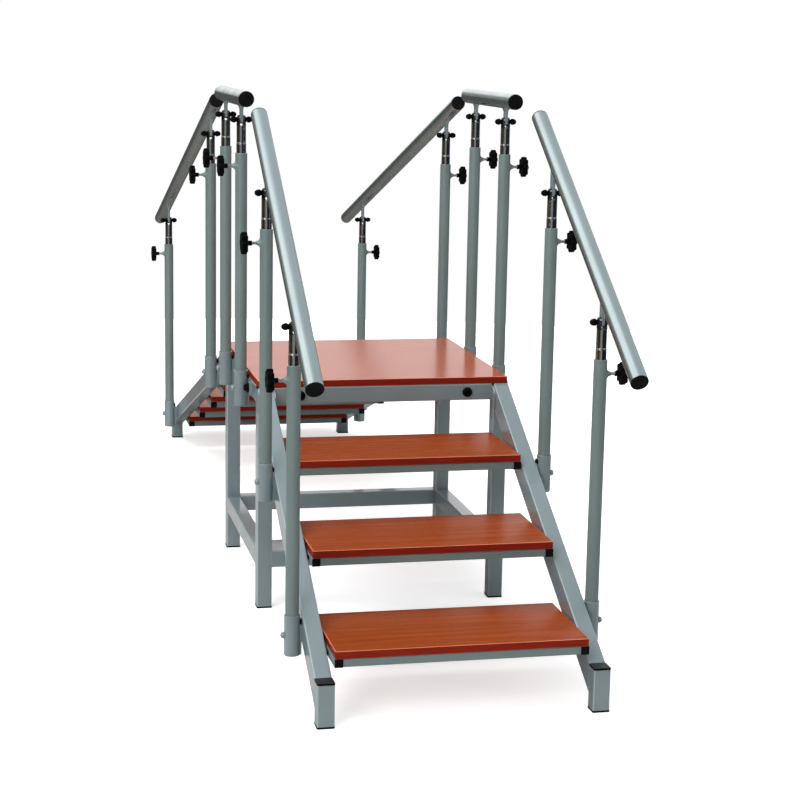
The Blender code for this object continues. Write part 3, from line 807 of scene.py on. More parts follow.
def face_values(made: bpy.types.Object, what: str) -> Array:
    """Reads the faces' normals or middles.

    Args:
        made: the object.
        what: "normal" or "center".

    Returns:
        Array of 3 by faces.
    """
    found = np.empty(len(made.data.polygons) * 3)
    made.data.polygons.foreach_get(what, found)
    return found.reshape(-1, 3).T


def dress_faces(made: bpy.types.Object, numbers: Array) -> None:
    """Gives each face the material of its number in an array."""
    made.data.polygons.foreach_set("material_index", numbers.astype(np.int32))


LEANS = 0.35  # share of a normal along an axis, from which a face leans that way
FACES = 0.94  # from which it faces that way
ACROSS = 0.02  # up to which it stands across the axis
UPWARD = 0.3  # share along Z, from which a face looks up


def edged(made: bpy.types.Object, sloped: bool = False) -> None:
    """Gives the rounded long edges of square tubes a lighter enamel, a painted highlight along each edge.

    A face belongs to such an edge where its normal leans between X and another direction, or,
    unless the tubes run down a slope, between Y and Z.

    Args:
        made: the tubes' object.
        sloped: True where flat faces of the tubes lean between Y and Z.
    """
    # the lighter enamel on the edge faces is a painted highlight
    made.data.materials.append(EDGE_HIGHLIGHT_ENAMEL.material())
    x, y, z = np.abs(face_values(made, "normal"))
    edge = (x > LEANS) & (x < FACES)
    if not sloped:
        edge |= (x < ACROSS) & (y > LEANS) & (z > LEANS)
    dress_faces(made, edge)


def rimmed(made: bpy.types.Object, above: float = 0.0, finish: Finish = EDGE_HIGHLIGHT_ENAMEL) -> None:
    """Gives the faces that look up, such as those of a tube's rim, another, lighter finish: a painted
    highlight.

    Args:
        made: the object.
        above: the height up to which faces stay as they are.
        finish: what the faces above it get.
    """
    # the lighter finish on the upward faces is a painted highlight
    made.data.materials.append(finish.material())
    rim = (face_values(made, "normal")[2] > UPWARD) & (face_values(made, "center")[2] > above)
    dress_faces(made, rim)


def piece(name: str, shape: Surface, finish: Finish, body: str, nodes: Sequence[str]) -> bpy.types.Object:
    """Makes one visible piece, dressed and riding on its body.

    Args:
        name: the piece's name.
        shape: its surface, laid out from the middle of the platform.
        finish: its finish.
        body: the body that it moves with.
        nodes: the nodes of the frame that it stands for.

    Returns:
        The piece's object.
    """
    shape = shape.moved((0.0, MIDDLE, 0.0))
    mesh = bpy.data.meshes.new(name)
    mesh.from_pydata(shape.points, [], shape.quads.tolist() + shape.triangles.tolist())
    mesh.validate()
    mesh.polygons.foreach_set("use_smooth", np.ones(len(mesh.polygons), bool))
    mesh.set_sharp_from_angle(angle=SHARP)
    mesh.materials.append(finish.material())
    made = bpy.data.objects.new(name, mesh)
    bpy.context.scene.collection.objects.link(made)
    even = made.modifiers.new("even_shading", "WEIGHTED_NORMAL")
    even.keep_sharp = True
    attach(made, body)
    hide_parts(*nodes)
    LOG.info("%s: %d faces on %s", name, len(mesh.polygons), body)
    return made


# Sizes that several pieces share


@dataclass(frozen=True)
class Plan:
    """The stairs' main sizes, as the frame has them.

    `fit` is the play between bolted pieces, `lap` how far pieces sink into each other, `proud`
    how far plastic stands out round its tube. Weld beads run `weld_in` from a tube's face and
    end `weld_gap` before upright edges and `weld_end` before level ones.
    """

    half_width: float = 0.340
    half_depth: float = 0.335
    frame_height: float = 0.600
    tube: float = 0.040
    rail_height: float = 0.045
    fit: float = 0.0003
    tube_corner: float = 0.0036
    pad: float = 0.003
    plug: float = 0.005
    proud: float = 0.0006
    lap: float = 0.0002
    weld_in: float = 0.0016
    weld_gap: float = 0.001
    weld_end: float = 0.003
    post_x: float = 0.3615
    pin_above_post: float = 0.088
    post_length: float = 0.675
    cup_floor: float = 0.004
    coupling_x: float = 0.227

    @property
    def inner(self) -> float:
        """Inner face of the legs and stringers."""
        return self.half_width - self.tube

    @property
    def frame_top(self) -> float:
        """Upper face of the steel, just under the board."""
        return self.frame_height - self.fit

    @property
    def under(self) -> float:
        """Lower face of the platform's upper tubes."""
        return self.frame_height - self.rail_height

    def cup_bottom(self, pin: float) -> float:
        """Bottom of the socket whose post carries a pin at the given height at rest."""
        return pin - self.pin_above_post - self.post_length - self.cup_floor - self.fit


PLAN = Plan()
FRAME = "frame"


@dataclass(frozen=True)
class Foot:
    """Black plastic under and on top of an upright square tube, slightly proud of it.

    A tube's outline in plan runs from `low` to `high`.
    """

    pad_lip: float = 0.0014
    pad_ends: tuple[float, float] = (0.0004, 0.0003)
    cap_ends: tuple[float, float] = (0.0004, 0.0016)

    def slab(self, low: Sequence[float], high: Sequence[float], levels: tuple[float, float],
             ends: tuple[float, float]) -> Surface:
        """A slab a little wider than a tube all round.

        Args:
            low: one corner of the tube in plan.
            high: the opposite corner.
            levels: heights of the slab's lower and upper face.
            ends: their rounding.

        Returns:
            The closed skin.
        """
        g = PLAN.proud
        low, high = (low[0] - g, low[1] - g, levels[0]), (high[0] + g, high[1] + g, levels[1])
        return bar(low, high, Axis.Z, PLAN.tube_corner, ends)

    def pad(self, low: Sequence[float], high: Sequence[float]) -> Surface:
        """The pad under a tube, with a lip round the tube's lower end."""
        return self.slab(low, high, (0.0, PLAN.pad + self.pad_lip), self.pad_ends)

    def cap(self, low: Sequence[float], high: Sequence[float], top: float) -> Surface:
        """The slightly crowned cap of a tube, whose upper face is at the height `top`."""
        return self.slab(low, high, (top - PLAN.plug, top), self.cap_ends)


@dataclass(frozen=True)
class Socket:
    """Round cup that carries a post, with its spacers and its clamp screw."""

    y: float
    bottom: float
    hand: Hand
    radius: float = 0.0185
    length: float = 0.096
    bore: float = 0.0164
    flare: float = 0.0007
    web: float = 0.0080
    spacer_top: float = 0.011
    spacer_bottom: float = 0.022
    web_lift: float = 0.001
    wall_lap: float = 0.0008
    screw_sunk: float = 0.0010
    screw_radius: float = 0.0078
    screw_height: float = 0.0100

    @property
    def top(self) -> float:
        """Height of the rim."""
        return self.bottom + self.length

    @property
    def wall(self) -> float:
        """Distance from the stairs' middle to a place within the cup's wall."""
        return PLAN.post_x - self.bore - self.wall_lap

    def cup(self) -> Surface:
        """The cup's wall, turned about the post's axis.

        The profile runs up the outside, over the flared rim, and down the bore to its floor.

        Returns:
            The closed skin.
        """
        r, top, bottom, floor = self.radius, self.top, self.bottom, self.bottom + PLAN.cup_floor
        line = eased(
            [(0.0, bottom), (r, bottom), (r, top - 0.0040), (r + self.flare, top - 0.0022),
             (r + self.flare, top), (self.bore, top), (self.bore, floor), (0.0, floor)],
            (0.0012, 0.0009, 0.0009, 0.0006, 0.0006, 0.0008), 4,
        )
        return upright(self.hand.value * PLAN.post_x, self.y).turned(line, Around.POST)

    def web_plate(self) -> Surface:
        """The upright plate, welded to the frame, that the cup stands on.

        Returns:
            The closed skin.
        """
        near, far = self.hand.reach(PLAN.half_width - 2 * PLAN.lap, self.wall)
        low = (near, self.y - self.web, self.bottom + self.web_lift)
        high = (far, self.y + self.web, self.top - self.spacer_bottom)
        return bar(low, high, Axis.Z, 0.0010, (0.0008, 0.0008))

    def spacer(self) -> Surface:
        """The black block between the cup and the frame, above the plate.

        Returns:
            The closed skin.
        """
        near, far = self.hand.reach(PLAN.half_width - PLAN.lap, self.wall)
        low = (near, self.y - self.web, self.top - self.spacer_bottom + PLAN.fit)
        high = (far, self.y + self.web, self.top - self.spacer_top)
        return bar(low, high, Axis.Z, 0.0016, (0.0012, 0.0012))

    def screw(self) -> Surface:
        """The round-headed clamp screw: a short collar, then a low dome.

        Returns:
            The closed skin.
        """
        start, r = self.radius - self.screw_sunk, self.screw_radius
        axis = sideways(self.hand.value * PLAN.post_x, self.y, (self.bottom + self.top) / 2, self.hand.value)
        line = eased(
            [(0.0, start), (r, start), (r - 0.0002, start + 0.0055), (r - 0.0022, start + 0.0088),
             (0.0, start + self.screw_height)],
            (0.0004, 0.0028, 0.0030), 6,
        )
        return axis.turned(line, Around.SCREW)


def headed_screw(axis: Spindle, start: float, radius: float, height: float, recess: float) -> Surface:
    """A screw head with a six-sided recess.

    The profile runs over a rounded rim and down into the recess, whose radius is
    r·cos(30°)/cos(q) with q the angle from the middle of the nearest flat.

    Args:
        axis: the screw's axis.
        start: where the head starts on it.
        radius: radius of the head.
        height: height of the head.
        recess: radius of the recess across its corners.

    Returns:
        The closed skin.
    """
    steps, top, floor = 4, start + height, start + height * 0.45
    line = eased(
        [(0.0, start), (radius, start), (radius * 0.96, start + height * 0.6), (radius * 0.62, top),
         (recess, top), (recess, floor), (0.0, floor)],
        (0.0004, 0.0012, 0.0010, 0.0002, 0.0002), steps,
    )
    off = np.mod(Around.SCREW.turn(), math.pi / 3) - math.pi / 6
    hexagon = math.cos(math.pi / 6) / np.cos(off) - 1
    inside = (np.arange(len(line)) >= len(line) - 2 * steps - 1)[:, None]
    return axis.turned(line, Around.SCREW, hexagon[None] * inside)


# Platform


@dataclass
class Platform:
    """The platform's welded frame with its legs, ring, sockets and board."""

    ring_z: float = 0.112
    front_bar_depth: float = 0.118
    post_spacing: float = 0.320
    pin_z: float = 1.290
    wing_thickness: float = 0.004
    wing_reach: float = 0.042
    wing_half: float = 0.019
    wing_drop: float = 0.002
    wing_lap: float = 0.0005
    wing_edge: float = 0.0006
    bolt_out: float = 0.029
    tube_lap: float = 0.002
    leg_ends: tuple[float, float] = (0.0020, 0.0004)
    board_setback: float = 0.002
    node: str = "platform_frame"
    foot: Foot = field(default_factory=Foot)

    @property
    def ring_top(self) -> float:
        """Upper face of the lower ring."""
        return self.ring_z + PLAN.rail_height

    def corners(self) -> list[tuple[tuple[float, float], tuple[float, float]]]:
        """Outlines of the four legs in plan.

        Returns:
            For each leg its corner of least X and Y, and the opposite one.
        """
        found = []
        for hand in Hand:
            low, high = hand.reach(PLAN.inner, PLAN.half_width)
            for near in (-PLAN.half_depth, PLAN.half_depth - PLAN.tube):
                found.append(((low, near), (high, near + PLAN.tube)))
        return found

    def tubes(self) -> Surface:
        """Legs, side tubes, cross tubes and the lower ring, each a rounded square tube.

        Returns:
            The tubes in one surface.
        """
        made = []
        corner, depth, tube = PLAN.tube_corner, PLAN.half_depth, PLAN.tube
        near, far = -depth + tube - self.tube_lap, depth - tube + self.tube_lap
        inner = PLAN.inner + self.tube_lap
        for low, high in self.corners():
            low, high = (*low, PLAN.pad - PLAN.lap), (*high, PLAN.frame_height - PLAN.plug)
            made.append(bar(low, high, Axis.Z, corner, self.leg_ends))
        for hand in Hand:
            low, high = hand.reach(PLAN.inner, PLAN.half_width)
            for bottom, top in ((PLAN.under, PLAN.frame_top), (self.ring_z, self.ring_top)):
                made.append(bar((low, near, bottom), (high, far, top), Axis.Y, corner))
        for start in (-depth + tube + PLAN.fit, -tube / 2, depth - 2 * tube - PLAN.fit):
            low, high = (-inner, start, PLAN.under), (inner, start + tube, PLAN.frame_top)
            made.append(bar(low, high, Axis.X, corner))
        for start, end in ((-depth, -depth + self.front_bar_depth), (depth - tube, depth)):
            made.append(bar((-inner, start, self.ring_z), (inner, end, self.ring_top), Axis.X, corner))
        return together(made)

    def welds(self) -> Surface:
        """Beads where the ring and the upper tubes meet the legs.

        Returns:
            The beads in one surface.
        """
        made = []
        inner, outer, depth, tube = PLAN.inner, PLAN.half_width, PLAN.half_depth, PLAN.tube
        inset, gap, end = PLAN.weld_in, PLAN.weld_gap, PLAN.weld_end
        for hand in Hand:
            side = hand.value
            for y in (tube - depth, depth - tube):
                for low in (self.ring_z, PLAN.under):
                    for x in (side * (outer - inset), side * (inner + inset)):
                        made.append(bead((x, y, low + gap), (x, y, low + PLAN.rail_height - gap)))
                    made.append(bead((side * (inner + end), y, low), (side * (outer - end), y, low)))
            x = side * inner
            for y in (-depth + inset, depth - inset):
                made.append(bead((x, y, self.ring_z + gap), (x, y, self.ring_top - gap)))
            for y in (-depth, depth - tube):
                for z in (self.ring_z, self.ring_top):
                    made.append(bead((x, y + end, z), (x, y + tube - end, z)))
        return together(made)

    def sockets(self) -> list[Socket]:
        """The four sockets at the platform's sides."""
        bottom = PLAN.cup_bottom(self.pin_z)
        return [Socket(end * self.post_spacing / 2, bottom, hand) for hand in Hand for end in (-1, 1)]

    def wing(self, socket: Socket) -> tuple[Surface, Surface]:
        """The flat plate beside a socket, and the domed bolt that holds it.

        Args:
            socket: the socket.

        Returns:
            The plate and the bolt.
        """
        end = math.copysign(1.0, socket.y)
        middle = PLAN.frame_height - PLAN.rail_height / 2 - self.wing_drop
        low, high = sorted((socket.y, socket.y + end * self.wing_reach))
        under, over = middle - self.wing_half, middle + self.wing_half
        outline = eased([(low, under), (high, under), (high, over), (low, over)], 0.006, 6, closed=True)
        outer = PLAN.half_width + self.wing_thickness
        near, far = socket.hand.reach(PLAN.half_width - self.wing_lap, outer)
        flat = plate(outline, near, far, Axis.X, self.wing_edge)
        axis = sideways(socket.hand.value * outer, socket.y + end * self.bolt_out, middle, socket.hand.value)
        line = eased(
            [(0.0, -0.0004), (0.0119, -0.0004), (0.0119, 0.0042), (0.0098, 0.0056), (0.0092, 0.0102),
             (0.0060, 0.0136), (0.0, 0.0139)],
            (0.0004, 0.0012, 0.0012, 0.0030, 0.0024), 6,
        )
        return flat, axis.turned(line, Around.SCREW)

    def build(self) -> None:
        """Makes the platform's pieces."""
        nodes = (self.node,)
        edged(piece("platform_tubes", self.tubes(), FRAME_ENAMEL, FRAME, nodes))
        piece("platform_welds", self.welds(), FRAME_ENAMEL, FRAME, nodes)
        pads = [self.foot.pad(low, high) for low, high in self.corners()]
        plug_bottom = PLAN.frame_height - PLAN.plug
        plugs = [
            bar((*low, plug_bottom), (*high, PLAN.frame_top), Axis.Z, PLAN.tube_corner)
            for low, high in self.corners()
        ]
        piece("platform_leg_pads", together(pads), MOULDED, FRAME, nodes)
        piece("platform_leg_plugs", together(plugs), MOULDED, FRAME, nodes)
        sockets = self.sockets()
        wings = [self.wing(socket) for socket in sockets]
        dress_sockets("platform", sockets, nodes)
        piece("platform_socket_plates", together(w[0] for w in wings), FRAME_ENAMEL, FRAME, nodes)
        piece("platform_socket_bolts", together(w[1] for w in wings), GLOSSY, FRAME, nodes)
        half = PLAN.half_width - self.board_setback
        Board("platform_board", -PLAN.half_depth, PLAN.half_depth, half, PLAN.frame_height).build()


def dress_sockets(label: str, sockets: Sequence[Socket], nodes: Sequence[str]) -> None:
    """Makes the cups, plates, spacers and screws of a row of sockets.

    Args:
        label: how the pieces' names start.
        sockets: the sockets.
        nodes: the nodes of the frame that the pieces stand for.
    """
    # the cups' upward faces get a lighter enamel, a painted highlight on the rims
    rimmed(piece(f"{label}_sockets", together(s.cup() for s in sockets), FRAME_ENAMEL, FRAME, nodes))
    piece(f"{label}_socket_webs", together(s.web_plate() for s in sockets), FRAME_ENAMEL, FRAME, nodes)
    piece(f"{label}_socket_spacers", together(s.spacer() for s in sockets), MOULDED, FRAME, nodes)
    piece(f"{label}_socket_screws", together(s.screw() for s in sockets), FRAME_ENAMEL, FRAME, nodes)


@dataclass
class Board:
    """A laminate board: its faces in wood grain, its edges in plain edging."""

    node: str
    low_y: float
    high_y: float
    half_width: float
    bottom: float
    thickness: float = 0.018
    corner: float = 0.0025
    edge: float = 0.0017
    wood_from: float = 0.97
    edging_to: float = 0.30
    finish: Laminate = LAMINATE

    def build(self) -> None:
        """Makes the board.

        Faces whose normal stands up or down by more than `wood_from` are wood and those below
        `edging_to` are edging. The rounded strip between them is a little lighter, a painted highlight.
        """
        low = (-self.half_width, self.low_y, self.bottom)
        high = (self.half_width, self.high_y, self.bottom + self.thickness)
        shape = bar(low, high, Axis.Z, self.corner, (self.edge, self.edge))
        made = piece(self.node + "_laminate", shape, self.finish, FRAME, (self.node,))
        made.data.materials.append(EDGING.material())
        made.data.materials.append(EDGE_BAND_HIGHLIGHT.material())
        lean = np.abs(face_values(made, "normal")[2])
        wood, edging, arris = range(3)
        # the rounded strip between wood and edging is a painted highlight
        sides = np.where(lean > self.edging_to, arris, edging)
        dress_faces(made, np.where(lean > self.wood_from, wood, sides))


# Flights


class Way(Enum):
    """Which way a flight runs from the platform."""

    FRONT = -1
    REAR = 1


@dataclass
class Flight:
    """One flight: stringers on upright feet, treads on light frames, sockets and couplings.

    A `bolt` has a head's radius and height and its recess's radius, its `shank` a radius and a
    length. `cuts` is how many outlines a stringer is drawn through.
    """

    way: Way
    treads: int
    going: float
    posts: tuple[float, float]
    pins: tuple[float, float]
    foot_ahead: float
    stringer_depth: float
    foot_height: float = 0.106
    tread_depth: float = 0.290
    tread_tube: float = 0.020
    tread_corner: float = 0.0018
    tread_gap: float = 0.0035
    board_gap: float = 0.005
    plug: float = 0.002
    plug_edges: tuple[float, float] = (0.0011, 0.0002)
    plug_sunk: float = 0.001
    spacer_radius: float = 0.0060
    spacer_setback: float = 0.030
    cross_setback: float = 0.0025
    cross_drop: float = 0.0005
    thin_bead: float = 0.0014
    ear: float = 0.005
    ear_reach: float = 0.026
    ear_edge: float = 0.0006
    stringer_lap: float = 0.002
    foot_ends: tuple[float, float] = (0.0020, 0.0020)
    bolt: tuple[float, float, float] = (0.0133, 0.0086, 0.0050)
    shank: tuple[float, float] = (0.0050, 0.066)
    cuts: int = 8
    foot: Foot = field(default_factory=Foot)

    @property
    def label(self) -> str:
        """The flight's name."""
        return self.way.name.lower()

    @property
    def node(self) -> str:
        """The flight's frame node."""
        return f"{self.label}_flight_frame"

    @property
    def foot_outer(self) -> float:
        """Distance of the foot's outer face from the platform."""
        return self.treads * self.going + self.foot_ahead

    @property
    def slope(self) -> float:
        """Fall of the stringers for each metre away from the platform."""
        return (PLAN.frame_height - self.foot_height) / (self.foot_outer - PLAN.tube)

    @property
    def drop(self) -> float:
        """Upright depth of a stringer."""
        return self.stringer_depth * math.hypot(1.0, self.slope)

    def y(self, out: float) -> float:
        """Y of a point `out` metres away from the platform."""
        return self.way.value * (PLAN.half_depth + out)

    def top(self, out: float) -> float:
        """Height of the stringer's upper face."""
        return PLAN.frame_height - self.slope * out

    def tread_bottom(self, step: int) -> float:
        """Lower face of the board of the tread that is `step` risers below the platform."""
        return PLAN.frame_height - step * PLAN.frame_height / (self.treads + 1)

    def stringer(self, hand: Hand) -> Surface:
        """A stringer: a rounded rectangle as deep as its upright cut, carried down the slope.

        It runs from the platform to the foot, with its middle at y(out) and at top(out) less
        half the drop, and is cut off level with the top of the frame.

        Args:
            hand: its side.

        Returns:
            The closed skin.
        """
        out = np.linspace(PLAN.fit, self.foot_outer - PLAN.tube + self.stringer_lap, self.cuts)
        sizes = np.tile((PLAN.tube / 2, self.drop / 2, PLAN.tube_corner), (self.cuts, 1)).T
        outline = rounded_rings(*sizes)
        rings = np.empty((*outline.shape[:2], 3))
        rings[..., 0] = hand.value * (PLAN.inner + PLAN.tube / 2) + outline[..., 0]
        rings[..., 1] = self.y(out)[:, None]
        height = self.top(out)[:, None] - self.drop / 2 + outline[..., 1]
        rings[..., 2] = np.minimum(height, PLAN.frame_top)
        return skin(rings)

    def foot_plan(self, hand: Hand) -> tuple[tuple[float, float], tuple[float, float]]:
        """Outline of a foot in plan.

        Args:
            hand: its side.

        Returns:
            Its corner of least X and Y, and the opposite one.
        """
        low, high = hand.reach(PLAN.inner, PLAN.half_width)
        near, far = sorted((self.y(self.foot_outer - PLAN.tube), self.y(self.foot_outer)))
        return (low, near), (high, far)

    def ear_plate(self, hand: Hand) -> Surface:
        """The flat plate with rounded corners that carries the cross tube.

        Args:
            hand: its side.

        Returns:
            The closed skin.
        """
        inside, below, under = 0.0013, 0.006, PLAN.under + 0.002
        far, back = self.ear_reach, -PLAN.tube + PLAN.fit
        corners = np.array([
            (self.y(far), self.top(far) - self.drop + 0.010),
            (self.y(far), self.top(far) - below),
            (self.y(inside), self.top(inside) - below),
            (self.y(back), PLAN.frame_top - 0.004),
            (self.y(back), under),
            (self.y(inside), under),
        ])
        low, high = hand.reach(PLAN.inner - self.ear - PLAN.fit, PLAN.inner - PLAN.fit)
        reach = (0.012, 0.010, 0.004, 0.004, 0.006, 0.010)
        return plate(eased(corners, reach, 6, closed=True), low, high, Axis.X, self.ear_edge)

    def apron(self) -> Surface:
        """The cross tube between the ears, under the platform's edge.

        Returns:
            The closed skin.
        """
        near, far = sorted((self.y(-PLAN.tube + PLAN.fit), self.y(-PLAN.fit)))
        reach = PLAN.inner - self.ear + 0.0007
        return bar((-reach, near, PLAN.under), (reach, far, PLAN.frame_top), Axis.X, PLAN.tube_corner)

    def tread_frame(self, step: int) -> tuple[list[Surface], list[Surface], list[Surface]]:
        """The light frame under one tread.

        Args:
            step: the tread's number, counted down from the platform.

        Returns:
            The square tubes with their weld beads, the plugs in their ends, and the spacers to
            the stringers.
        """
        top = self.tread_bottom(step) - PLAN.fit
        low_z = top - self.tread_tube
        middle = low_z + self.tread_tube / 2
        outer = PLAN.inner - self.tread_gap
        inner = outer - self.tread_tube
        nose, back = step * self.going, step * self.going - self.tread_depth
        near, far = sorted((self.y(back + self.plug), self.y(nose - self.plug)))
        corner, lap, sunk, gap = self.tread_corner, PLAN.lap, self.plug_sunk, PLAN.weld_gap
        tubes, plugs, spacers = [], [], []
        room = self.spacer_radius + 0.001
        first = (middle + room - self.top(nose)) / self.slope - 0.003
        last = (middle - room - self.top(nose) + self.drop) / self.slope - 0.004
        places = (max(first, self.spacer_setback), min(last, self.tread_depth - self.spacer_setback))
        spacer = eased(
            [(0.0, -sunk), (self.spacer_radius, -sunk), (self.spacer_radius, self.tread_gap + sunk),
             (0.0, self.tread_gap + sunk)],
            0.0006, 4,
        )
        for hand in Hand:
            low, high = hand.reach(inner, outer)
            tubes.append(bar((low, near, low_z), (high, far, top), Axis.Y, corner))
            for a, b, ends in ((near - self.plug, near + sunk, self.plug_edges),
                               (far - sunk, far + self.plug, self.plug_edges[::-1])):
                start, stop = (low + lap, a, low_z + lap), (high - lap, b, top - lap)
                plugs.append(bar(start, stop, Axis.Y, corner, ends))
            for behind in places:
                axis = sideways(hand.value * outer, self.y(nose - behind), middle, hand.value)
                spacers.append(axis.turned(spacer, Around.PIN))
        for out in (nose - self.cross_setback, back + self.cross_setback + self.tread_tube):
            a, b = sorted((self.y(out - self.tread_tube), self.y(out)))
            low, high = (-inner - sunk, a, low_z + self.cross_drop), (inner + sunk, b, top - self.cross_drop)
            tubes.append(bar(low, high, Axis.X, corner))
            for x in (-inner, inner):
                for y in (a, b):
                    tubes.append(bead((x, y, low_z + gap), (x, y, top - 2 * gap), self.thin_bead))
                tubes.append(bead((x, a + gap, low_z), (x, b - gap, low_z), self.thin_bead))
        return tubes, plugs, spacers

    def welds(self) -> Surface:
        """Beads at the feet and at the ears.

        Returns:
            The beads in one surface.
        """
        made = []
        inner, outer = PLAN.inner, PLAN.half_width
        inset, gap, end = PLAN.weld_in, PLAN.weld_gap, PLAN.weld_end
        out = self.foot_outer - PLAN.tube
        foot, low = self.y(out), max(self.top(out) - self.drop, 0.004)
        high = self.foot_height - PLAN.plug - gap
        near, far, below = 0.006, self.ear_reach - 0.012, 0.0066
        for hand in Hand:
            side = hand.value
            for x in (side * (inner + inset), side * (outer - inset)):
                made.append(bead((x, foot, low + gap), (x, foot, high)))
            made.append(bead((side * (inner + end), foot, low), (side * (outer - end), foot, low)))
            x = side * (inner - PLAN.lap)
            start, stop = ((x, self.y(place), self.top(place) - below) for place in (near, far))
            made.append(bead(start, stop, self.thin_bead))
            x = side * (inner - self.ear)
            for y in (self.y(-PLAN.fit), self.y(-PLAN.tube + PLAN.fit)):
                made.append(bead((x, y, PLAN.under + 0.004), (x, y, PLAN.frame_top - 0.006), 0.0016))
        return together(made)

    def sockets(self) -> list[Socket]:
        """The flight's four sockets.

        Returns:
            The sockets in the order of the posts, left before right.
        """
        places = zip(self.posts, self.pins)
        return [Socket(self.y(out), PLAN.cup_bottom(pin), hand) for out, pin in places for hand in Hand]

    def coupling(self, hand: Hand) -> Surface:
        """A black round-headed bolt with a six-sided recess, and its shank through both tubes.

        Args:
            hand: its side.

        Returns:
            The head and the shank.
        """
        middle = PLAN.frame_height - PLAN.rail_height / 2
        start = (hand.value * PLAN.coupling_x, self.y(-PLAN.fit), middle)
        axis = Spindle(start, (0.0, float(self.way.value), 0.0))
        head = headed_screw(axis, PLAN.fit, *self.bolt)
        (r, length), sunk = self.shank, 0.001
        line = eased([(0.0, -length), (r, -length), (r, sunk), (0.0, sunk)], 0.0006, 4)
        return together([head, axis.turned(line, Around.PIN)])

    def build(self) -> None:
        """Makes the flight's pieces."""
        nodes = (self.node,)
        label = self.label
        stringers = together(self.stringer(hand) for hand in Hand)
        edged(piece(f"{label}_stringers", stringers, FRAME_ENAMEL, FRAME, nodes), sloped=True)
        feet, pads, caps = [], [], []
        bottom, top = PLAN.pad - PLAN.lap, self.foot_height - PLAN.plug + PLAN.lap
        for hand in Hand:
            low, high = self.foot_plan(hand)
            feet.append(bar((*low, bottom), (*high, top), Axis.Z, PLAN.tube_corner, self.foot_ends))
            pads.append(self.foot.pad(low, high))
            caps.append(self.foot.cap(low, high, self.foot_height))
        edged(piece(f"{label}_feet", together(feet), FRAME_ENAMEL, FRAME, nodes))
        piece(f"{label}_foot_pads", together(pads), MOULDED, FRAME, nodes)
        # the caps' upward faces get a lighter black, a painted sheen on their tops
        rimmed(piece(f"{label}_foot_caps", together(caps), GLOSSY, FRAME, nodes), finish=CAP_TOP_SHEEN)
        ears = [self.ear_plate(hand) for hand in Hand]
        edged(piece(f"{label}_apron", together([self.apron(), *ears]), FRAME_ENAMEL, FRAME, nodes))
        piece(f"{label}_welds", self.welds(), FRAME_ENAMEL, FRAME, nodes)
        tubes, plugs, spacers = [], [], []
        for step in range(1, self.treads + 1):
            for made, parts in zip((tubes, plugs, spacers), self.tread_frame(step)):
                made.extend(parts)
        piece(f"{label}_tread_frames", together(tubes), POST_ENAMEL, FRAME, nodes)
        piece(f"{label}_tread_plugs", together(plugs), MOULDED, FRAME, nodes)
        piece(f"{label}_tread_spacers", together(spacers), MOULDED, FRAME, nodes)
        dress_sockets(label, self.sockets(), nodes)
        for hand in Hand:
            name = f"{label}_coupling_bolt_{hand.word}"
            piece(name + "_head", self.coupling(hand), GLOSSY, FRAME, (name,))
        for step in range(1, self.treads + 1):
            nose = step * self.going
            low, high = sorted((self.y(nose - self.tread_depth), self.y(nose)))
            node = f"{label}_tread_board_{self.treads + 1 - step}"
            half = PLAN.inner - self.board_gap
            Board(node, low, high, half, self.tread_bottom(step), finish=TREAD_LAMINATE).build()


# Handrails


